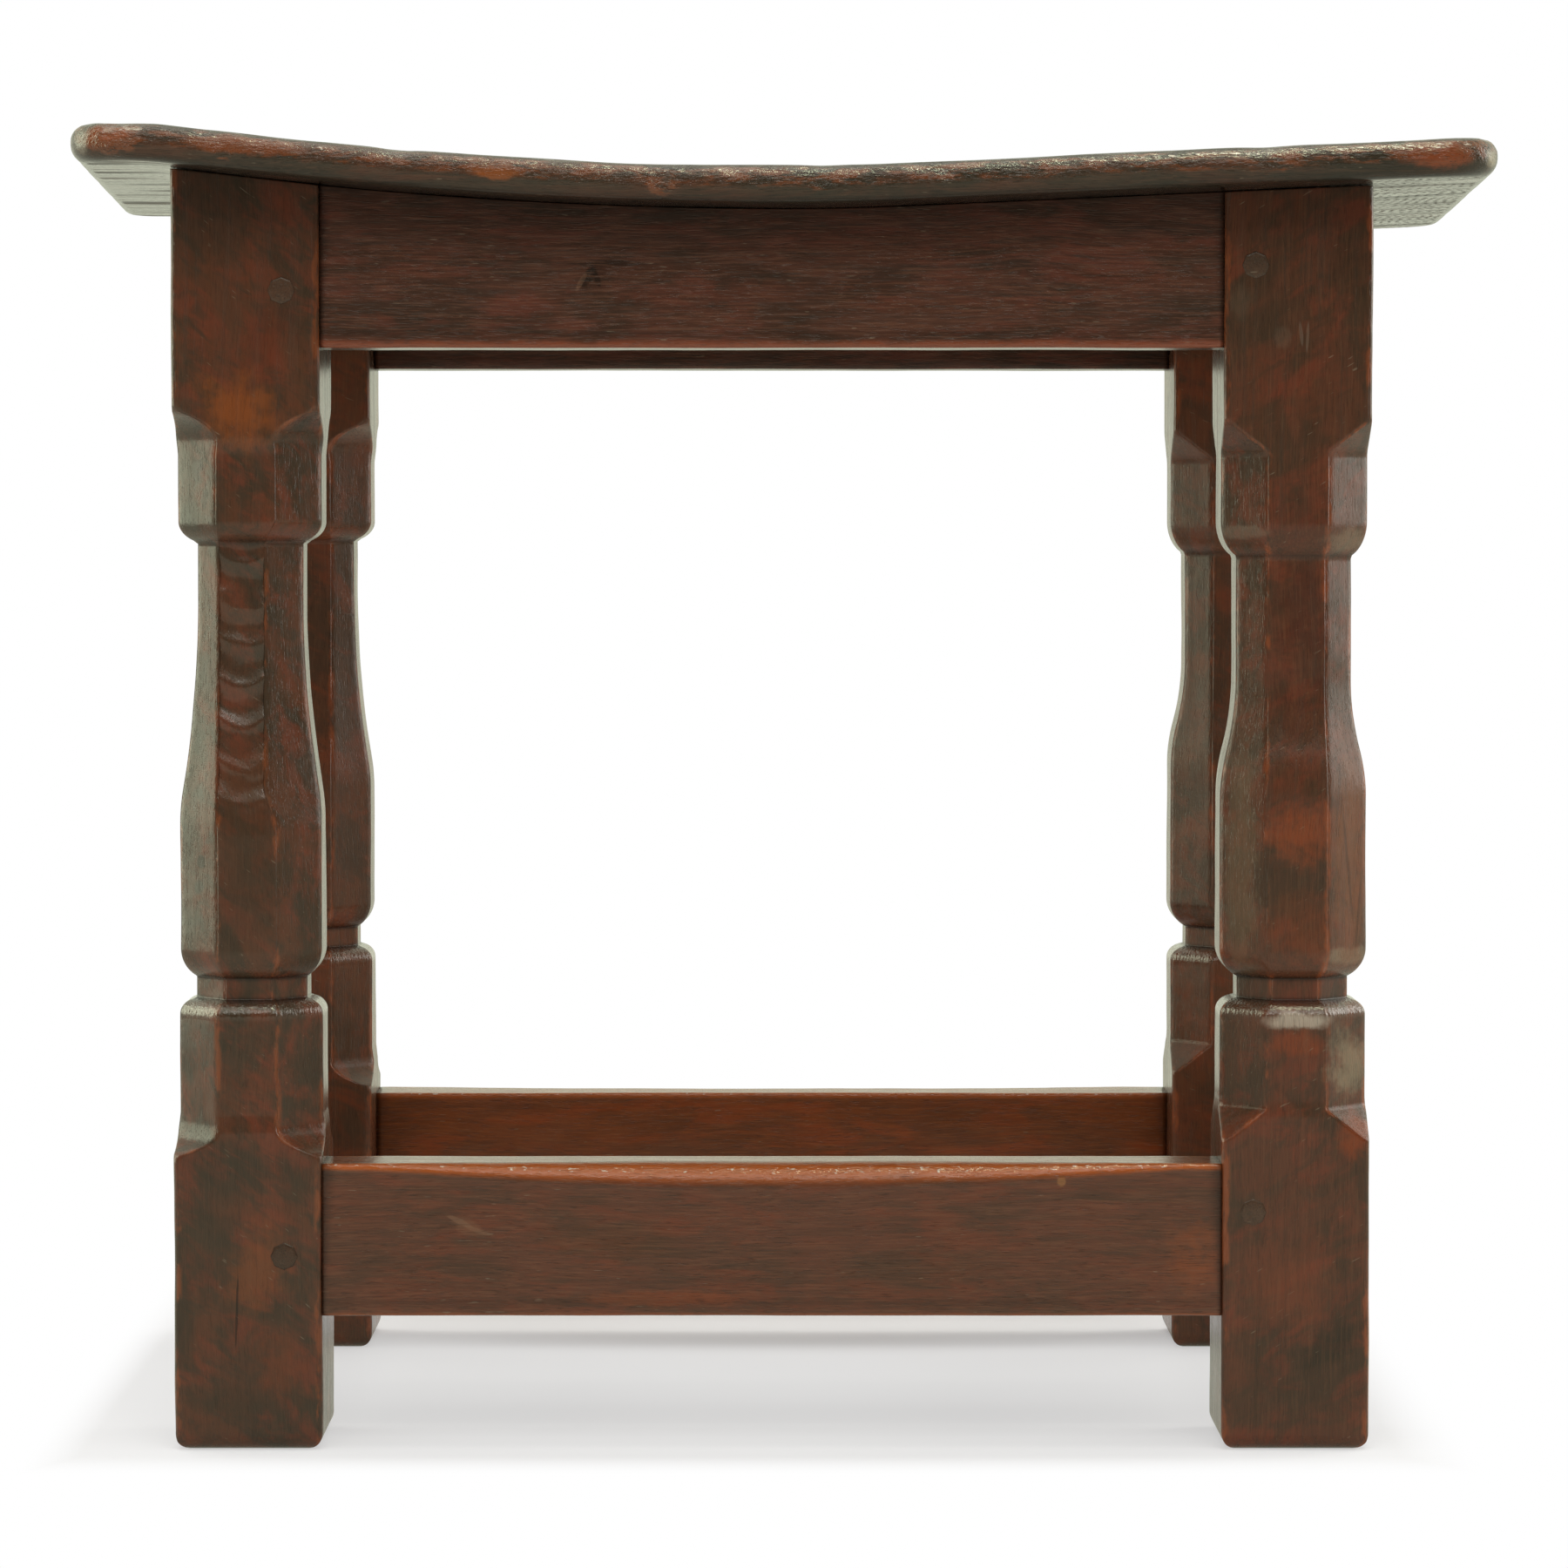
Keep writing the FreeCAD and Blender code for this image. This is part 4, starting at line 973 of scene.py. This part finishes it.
def seatBoard():
    # Places, outward directions, heights and tilts of the points of both faces and of the rings between
    # them, then the mesh's faces and the number of the edge's first point
    along, across = seat["along"], seat["across"]
    outline, normals = seatOutline()
    # The edge, from the top face round to the lower one: inset, height and outward tilt
    edge = []
    for radius, centreHeight, first in ((seat["topNosing"], seat["thickness"] - seat["topNosing"], 90),
                                        (seat["bottomNosing"], seat["bottomNosing"], 0)):
        for step in range(seat["nosingSteps"] + 1):
            tilt = math.radians(first - 90 * step / seat["nosingSteps"])
            edge.append((radius * (1 - math.cos(tilt)), centreHeight + radius * math.sin(tilt), tilt))
    size = (along + 1) * (across + 1)
    layers = []
    for nosing, height, tilt in (("topNosing", seat["thickness"], 90), ("bottomNosing", 0.0, -90)):
        grid = coons(outline - normals * seat[nosing]).reshape(-1, 2)
        layers.append((grid, np.zeros((size, 2)), np.full(size, height), np.full(size, math.radians(tilt))))
    for inset, height, tilt in edge[1:-1]:
        layers.append((outline - normals * inset, normals, np.full(len(outline), height),
                       np.full(len(outline), tilt)))
    # Faces: the two grids, then a band between each pair of rings
    index = np.arange(size).reshape(along + 1, across + 1)
    faces = []
    for i in range(along):
        for j in range(across):
            a, b, c, d = index[i, j], index[i + 1, j], index[i + 1, j + 1], index[i, j + 1]
            faces.append((a, b, c, d))
            faces.append((a + size, d + size, c + size, b + size))
    loop = np.concatenate([index[:-1, 0], index[-1, :-1], index[:0:-1, -1], index[0, :0:-1]])
    rings = [loop] + [2 * size + k * len(loop) + np.arange(len(loop)) for k in range(len(edge) - 2)]
    rings.append(loop + size)
    for upper, lower in zip(rings, rings[1:]):
        for k in range(len(loop)):
            following = (k + 1) % len(loop)
            faces.append((upper[k], lower[k], lower[following], upper[following]))
    return [np.concatenate(values) for values in zip(*layers)], faces, 2 * size


def makeSeat():
    (places, outward, heights, tilts), faces, edgeStart = seatBoard()
    points = np.column_stack([places, stool["undersideHeight"] + dishRise(places[:, 0]) + heights])
    facing = np.column_stack([outward * np.cos(tilts)[:, None], np.sin(tilts)])
    onEdge = np.arange(len(points)) >= edgeStart
    degrees = np.degrees(tilts)

    # Hollows are only ever cut into the board
    upperEdge = np.clip(np.cos(tilts - math.radians(seat["rippleTilt"])) * onEdge, seat["faceShare"], 1)
    cut = np.clip(unevenness(points, seat["rippleLength"], seat["rippleDepth"], 4.0), 0, None) * upperEdge
    hewn = unevenness(points, seat["hewingLength"], seat["hewingDepth"], 9.0) + seat["hewingLift"]
    hewnShare = np.where(degrees < seat["lowerTilt"], seat["lowerShare"], seat["upperShare"])
    cut += np.clip(hewn, 0, None) * hewnShare
    rims = np.zeros(len(points))
    shine = np.zeros(len(points))
    for spot, radius, depth in seatDents:
        away = np.linalg.norm(points - np.array(spot), axis=1) / radius
        cut += depth * np.exp(-away ** 2)
        rims = np.maximum(rims, np.exp(-((away - 1.0) / seat["rimWidth"]) ** 2) * depth * seat["rimWear"])
        shine = np.maximum(shine, np.exp(-away ** 2) * min(1.0, depth) * seat["dentShine"])
    points -= facing * cut[:, None]
    front = np.clip(-places[:, 1] / seat["halfDepth"], 0, 1)
    # Hands and legs have rubbed the upper half of the edge. The edge is darker above it, and painted shade
    # darkens it below
    wear = np.clip(np.cos((tilts - math.radians(seat["wearTilt"])) * seat["wearFocus"]), 0, 1)
    wear *= seat["wear"] + seat["frontWear"] * front
    wear = np.where(onEdge, np.maximum(wear, rims), 0)
    topDark = np.where(degrees > seat["topDarkTilt"], seat["topDark"], 0)
    lowShade = np.clip((seat["lowShadeTilt"] - degrees) / seat["lowShadeSpread"], 0, 1) * seat["lowShade"]
    grime = np.where(onEdge, np.maximum(topDark, lowShade), 0)
    # Painted glints where the gloss is chipped along the upper front, most of all on the right
    crowd = np.interp(places[:, 0], seat["crowdPlaces"], seat["crowdShares"])
    facingGlint = seat["paintedGlintMost"] - abs(degrees - seat["paintedGlintTilt"]) / seat["paintedGlintSpread"]
    paintedGlint = crowd * onEdge * (front > seat["paintedGlintFront"]) * np.clip(facingGlint, 0, 1)
    # Under the board only the ends past the legs were left sawn; the rest of the underside gets painted shade
    below = degrees < -seat["faceTilt"]
    within = abs(places[:, 0] - stool["middle"]) < stool["length"] / 2 - seat["sawnMargin"]
    grime = np.where(below & within, seat["lowShade"], grime)
    attributes = {"wear": wear, "grime": grime, "polish": shine * onEdge, "sawn": below & ~within,
                  "satin": degrees > seat["faceTilt"], "paintedGlint": paintedGlint}
    piece = makePiece("dished_seat", points, faces, attributes, oak["seat"])
    dress(piece, "seat_board")
    print("seat:", len(faces), "faces")


makeSeat()


# Pegs: riven oak, eight-sided, driven through the joints, with a domed end that shows
peg = {
    "Radius": 4.3, "Length": 27.0, "Point length": 5.0, "Point radius": 2.7, "Dome": 0.2, "Edge": 0.15,
}
seatPeg = {
    "Radius": 4.75, "Length": 23.4, "Point length": 0.5, "Point radius": 4.75, "Dome": 0.15, "Edge": 0.4,
}
pegMesh = {
    "sides": 8, "columns": 48, "rows": 40, "headShare": 0.4, "tipShare": 0.94, "merge": 0.002,
    "rimPower": 14.0, "darkening": (0.60, 1.0, 0.0, 0.32),   # towards the rim of the head
}


def pegTree():
    tree, add, given = newTree("Driven pegs", {
        "Places": "Geometry", "Aim": "Vector", **dict.fromkeys(peg, "Float"), "Wood": "Material"})
    # A sheet is wrapped round the peg's axis: its first rows are the head, from the middle outwards
    grid = add("GeometryNodeMeshGrid", [1.0, 1.0, pegMesh["columns"] + 1, pegMesh["rows"] + 1])
    across, up, _ = add("SeparateXYZ", [add("GeometryNodeInputPosition")]).outputs
    angle = add("Math ADD", [across, 0.5])
    angle = add("Math MULTIPLY", [angle, 2 * math.pi])
    along = add("Math ADD", [up, 0.5])
    head = add("MapRange", [along, 0.0, pegMesh["headShare"], 0.0, 1.0])
    shaft = add("MapRange", [along, pegMesh["headShare"], pegMesh["tipShare"], 0.0, 1.0])
    closing = add("MapRange", [along, pegMesh["tipShare"], 1.0, 1.0, 0.0])
    # Flats: the radius falls towards the middle of each side
    turn = math.pi / pegMesh["sides"]
    side = add("Math MODULO", [angle, 2 * turn])
    side = add("Math SUBTRACT", [side, turn])
    flats = add("Math DIVIDE", [math.cos(turn), add("Math COSINE", [side])])
    depth = add("Math MULTIPLY", [shaft, given["Length"]])
    tip = add("Math SUBTRACT", [given["Length"], given["Point length"]])
    thinner = add("Math SUBTRACT", [given["Point radius"], given["Radius"]])
    thinner = add("MapRange", [depth, tip, given["Length"], 0.0, thinner])
    radius = add("Math ADD", [given["Radius"], thinner])
    for factor in (flats, head, closing):
        radius = add("Math MULTIPLY", [radius, factor])
    # The head is domed, and its rim is bruised over
    sink = 0.0
    for power, label in ((2.0, "Dome"), (pegMesh["rimPower"], "Edge")):
        part = add("Math POWER", [head, power])
        sink = add("Math MULTIPLY_ADD", [part, given[label], sink])
    depth = add("Math MAXIMUM", [depth, sink])
    across, upward = [add("Math MULTIPLY", [add("Math " + operation, [angle]), radius])
                      for operation in ("COSINE", "SINE")]
    spot = add("CombineXYZ", [across, depth, upward])
    dark = add("MapRange", [head, *pegMesh["darkening"]])
    shaped = add("GeometryNodeStoreNamedAttribute", {"Geometry": grid, "Name": "grime", 3: dark},
                 data_type="FLOAT", domain="POINT")
    shaped = add("GeometryNodeSetPosition", {"Geometry": shaped, "Position": spot})
    shaped = add("GeometryNodeMergeByDistance", {"Geometry": shaped, "Distance": pegMesh["merge"]})
    shaped = add("GeometryNodeFlipFaces", {"Mesh": shaped})   # the sheet wraps inside out
    shaped = add("GeometryNodeTransform", {"Geometry": shaped, "Scale": (mm, mm, mm)})
    shaped = add("GeometryNodeSetShadeSmooth", {"Geometry": shaped})
    driven = add("GeometryNodeInstanceOnPoints", {"Points": given["Places"], "Instance": shaped,
                                                  "Rotation": given["Aim"]})
    driven = add("GeometryNodeRealizeInstances", {"Geometry": driven})
    driven = add("GeometryNodeSetMaterial", {"Geometry": driven, "Material": given["Wood"]})
    add("NodeGroupOutput", [driven])
    return tree


def drivePegs(name, node, tree, sizes, places, aim):
    mesh = bpy.data.meshes.new(node + "_places")
    mesh.from_pydata(places, [], [])
    piece = fromTree(name, tree, {**sizes, "Aim": aim, "Wood": oak["pegs"]}, mesh)
    dress(piece, node)


def makePegs():
    tree = pegTree()
    flatShare = math.cos(math.pi / pegMesh["sides"]) * mm
    inset = peg["Radius"] * flatShare
    for side, degrees in {"front": 0, "back": 180, "left": -90, "right": 90}.items():
        for kind in ("rail", "stretcher"):
            node = kind + "_pegs_" + side
            low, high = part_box(node)
            # The lower peg of each pair is on the left, seen from outside
            along = 0 if side in ("front", "back") else 1
            ends = [low[along] + inset, high[along] - inset]
            if side in ("back", "left"):
                ends.reverse()
            outer = {"front": low[1], "back": high[1], "left": low[0], "right": high[0]}[side]
            places = []
            for end, height in zip(ends, (low[2] + inset, high[2] - inset)):
                places.append((end, outer, height) if along == 0 else (outer, end, height))
            aim = (0.0, 0.0, math.radians(degrees))
            drivePegs(side + "_" + kind + "_pegs", node, tree, peg, places, aim)
    # The seat's pegs are driven down and cut off with the board
    low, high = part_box("seat_pegs")
    inset = seatPeg["Radius"] * flatShare
    places = []
    for x in (low.x + inset, high.x - inset):
        for y in (low.y + inset, high.y - inset):
            top = stool["undersideHeight"] + seat["thickness"] + float(dishRise(x / mm)) - stool["clearance"]
            places.append((x, y, top * mm))
    drivePegs("seat_top_pegs", "seat_pegs", tree, seatPeg, places, (math.radians(-90), 0.0, 0.0))
    print("pegs: 8 pairs and 4 in the seat")


makePegs()


# Floor, world and lamps, in metres
studio = {
    "floorSize": 6.0,
    "floorWhite": "#f4f4f4",
    "floorGlow": 0.5,        # share of the floor's white that shadows can't dim
    "fade": (0.35, 1.2),     # from the stool's middle
    # Where the light from each side reaches the floor, along Y and X
    "frontFade": (-0.105, -0.17), "backFade": (0.18, 0.3),
    "rightFade": (0.17, 0.22), "leftFade": (-0.205, -0.24),
    # Under the back stretcher it is darker: the place, its reach and how much less white
    "backShade": ((0.0, 0.15, 0.0), (0.24, 0.09, 1.0), 0.5),
    "shadeEdge": (0.4, 1.0),
    "worldStrength": 0.5,    # on the object
    "lampColour": "#fffef8",
    "glossColour": "#f3ffd2",
    "glossWhite": "#fbffe6",
    "aim": (0, 0, 0.22),
    "lamps": {
        # place, size, radiance
        "overhead": ((0.0, 0.1, 2.1), (1.8, 1.4), 2.6),
        "front": ((0.1, -1.5, 1.75), (1.9, 0.7), 2.4),
        "window": ((0.15, -1.6, 1.3), (1.0, 0.06), 16.0),
        "glint": ((0.34, -0.35, 1.9), (0.6, 0.08), 70.0),
        "shoulder sheen": ((0.33, -0.25, 1.9), (0.26, 0.6), 12.0),
        "left": ((-1.9, 0.45, 0.75), (1.1, 1.6), 1.5),
        "left sheen": ((-1.9, 0.36, 0.75), (1.2, 1.6), 3.3),
        "right": ((1.9, 0.5, 0.8), (1.1, 1.3), 3.6),
    },
    "glossOnly": ["glint", "shoulder sheen", "left sheen"],  # lamps that only a gloss shows
    # A dark screen stands round the front, and only a gloss shows it: corners of its foot, and its height
    "screen": [(-2.3, -0.25), (-2.3, -2.9), (2.3, -2.9), (2.3, -0.25)],
    "screenHeight": 1.5,
    "screenColour": "#2b2724",
}


def seenWhite(add, share):
    # Seen straight, in a gloss or through glass, a surface has this share of white, warmer in a gloss
    seen = add("LightPath").outputs
    both = add("Math MAXIMUM", [seen["Is Camera Ray"], seen["Is Glossy Ray"]])
    both = add("Math MAXIMUM", [both, seen["Is Transmission Ray"]])
    white = add("Mix", {0: seen["Is Glossy Ray"], 6: (1, 1, 1, 1), 7: fromHex(studio["glossWhite"])},
                data_type="RGBA").outputs[2]
    return add("Math MULTIPLY", [both, share]), white


def paintedFloor():
    material, add = newMaterial("Painted studio floor")
    lit = add("BsdfDiffuse", {"Color": fromHex(studio["floorWhite"])})
    # The floor turns to plain white away from the stool
    spot = add("TexCoord").outputs["Object"]
    away = add("VectorMath LENGTH", [spot]).outputs["Value"]
    glow = add("MapRange", [away, *studio["fade"], studio["floorGlow"], 1.0], interpolation_type="SMOOTHSTEP")
    across, along, _ = add("SeparateXYZ", [spot]).outputs
    place, reach, less = studio["backShade"]
    shade = add("Mapping", {"Vector": spot, "Location": place, "Scale": reach}, vector_type="TEXTURE")
    shade = add("VectorMath LENGTH", [shade]).outputs["Value"]
    shade = add("MapRange", [shade, *studio["shadeEdge"], less, 0.0], interpolation_type="SMOOTHSTEP")
    glow = add("Math SUBTRACT", [glow, shade])
    for way, side in ((along, "front"), (along, "back"), (across, "right"), (across, "left")):
        lighter = add("MapRange", [way, *studio[side + "Fade"], 0.0, 1.0], interpolation_type="SMOOTHSTEP")
        glow = add("Math MAXIMUM", [glow, lighter])
    share, white = seenWhite(add, glow)
    glowing = add("Emission", {"Color": white, "Strength": 1.0})
    add("OutputMaterial", {"Surface": add("MixShader", [share, lit, glowing])})
    return material


def makeSheet(name, corners, faces, material):
    mesh = bpy.data.meshes.new(name)
    mesh.from_pydata(corners, [], faces)
    mesh.materials.append(material)
    sheet = bpy.data.objects.new(name, mesh)
    scene.collection.objects.link(sheet)
    return sheet


def makeStudio():
    size = studio["floorSize"] / 2
    corners = [(-size, -size, 0), (size, -size, 0), (size, size, 0), (-size, size, 0)]
    floor = makeSheet("studio_floor", corners, [(0, 1, 2, 3)], paintedFloor())

    material, add = newMaterial("Dark cloth screen")
    dark = add("Emission", {"Color": fromHex(studio["screenColour"]), "Strength": 1.0})
    add("OutputMaterial", {"Surface": dark})
    corners = [(x, y, z) for z in (0.0, studio["screenHeight"]) for x, y in studio["screen"]]
    screen = makeSheet("dark_screen", corners, [(i, i + 1, i + 5, i + 4) for i in range(3)], material)
    screen.visible_camera = False
    screen.visible_diffuse = False
    screen.visible_transmission = False
    screen.visible_shadow = False

    world = bpy.data.worlds.new("Studio")
    scene.world = world
    world.use_nodes = True
    world.node_tree.nodes.clear()
    add = partial(addNode, world.node_tree)
    dim = add("Background", {"Color": (1, 1, 1, 1), "Strength": studio["worldStrength"]})
    share, white = seenWhite(add, 1.0)
    bright = add("Background", {"Color": white, "Strength": 1.0})
    add("OutputWorld", {"Surface": add("MixShader", [share, dim, bright])})

    for name, (place, (width, tall), radiance) in studio["lamps"].items():
        light = bpy.data.lights.new(name, "AREA")
        light.shape = "RECTANGLE"
        light.size, light.size_y = width, tall
        light.color = fromHex(studio["glossColour" if name in studio["glossOnly"] else "lampColour"])[:3]
        light.energy = radiance * math.pi * width * tall
        lamp = bpy.data.objects.new(name, light)
        lamp.location = place
        lamp.rotation_euler = (Vector(studio["aim"]) - Vector(place)).to_track_quat("-Z", "Y").to_euler()
        lamp.visible_diffuse = name not in studio["glossOnly"]
        scene.collection.objects.link(lamp)


camera = {
    "place": (-4.15, -1777.0, 294.0),   # millimetres
    "tiltDown": 2.0,
    "lens": 120.0,
    "sensor": 36.0,
    "shift": (15 / 1800, -88.5 / 1800),
}


def makeCamera():
    data = bpy.data.cameras.new("camera")
    data.sensor_width = camera["sensor"]
    data.lens = camera["lens"]
    data.shift_x, data.shift_y = camera["shift"]
    eye = bpy.data.objects.new("camera", data)
    eye.location = [c * mm for c in camera["place"]]
    eye.rotation_euler = (math.radians(90 - camera["tiltDown"]), 0, 0)
    scene.collection.objects.link(eye)
    scene.camera = eye


makeStudio()
makeCamera()
print("studio and camera ready")
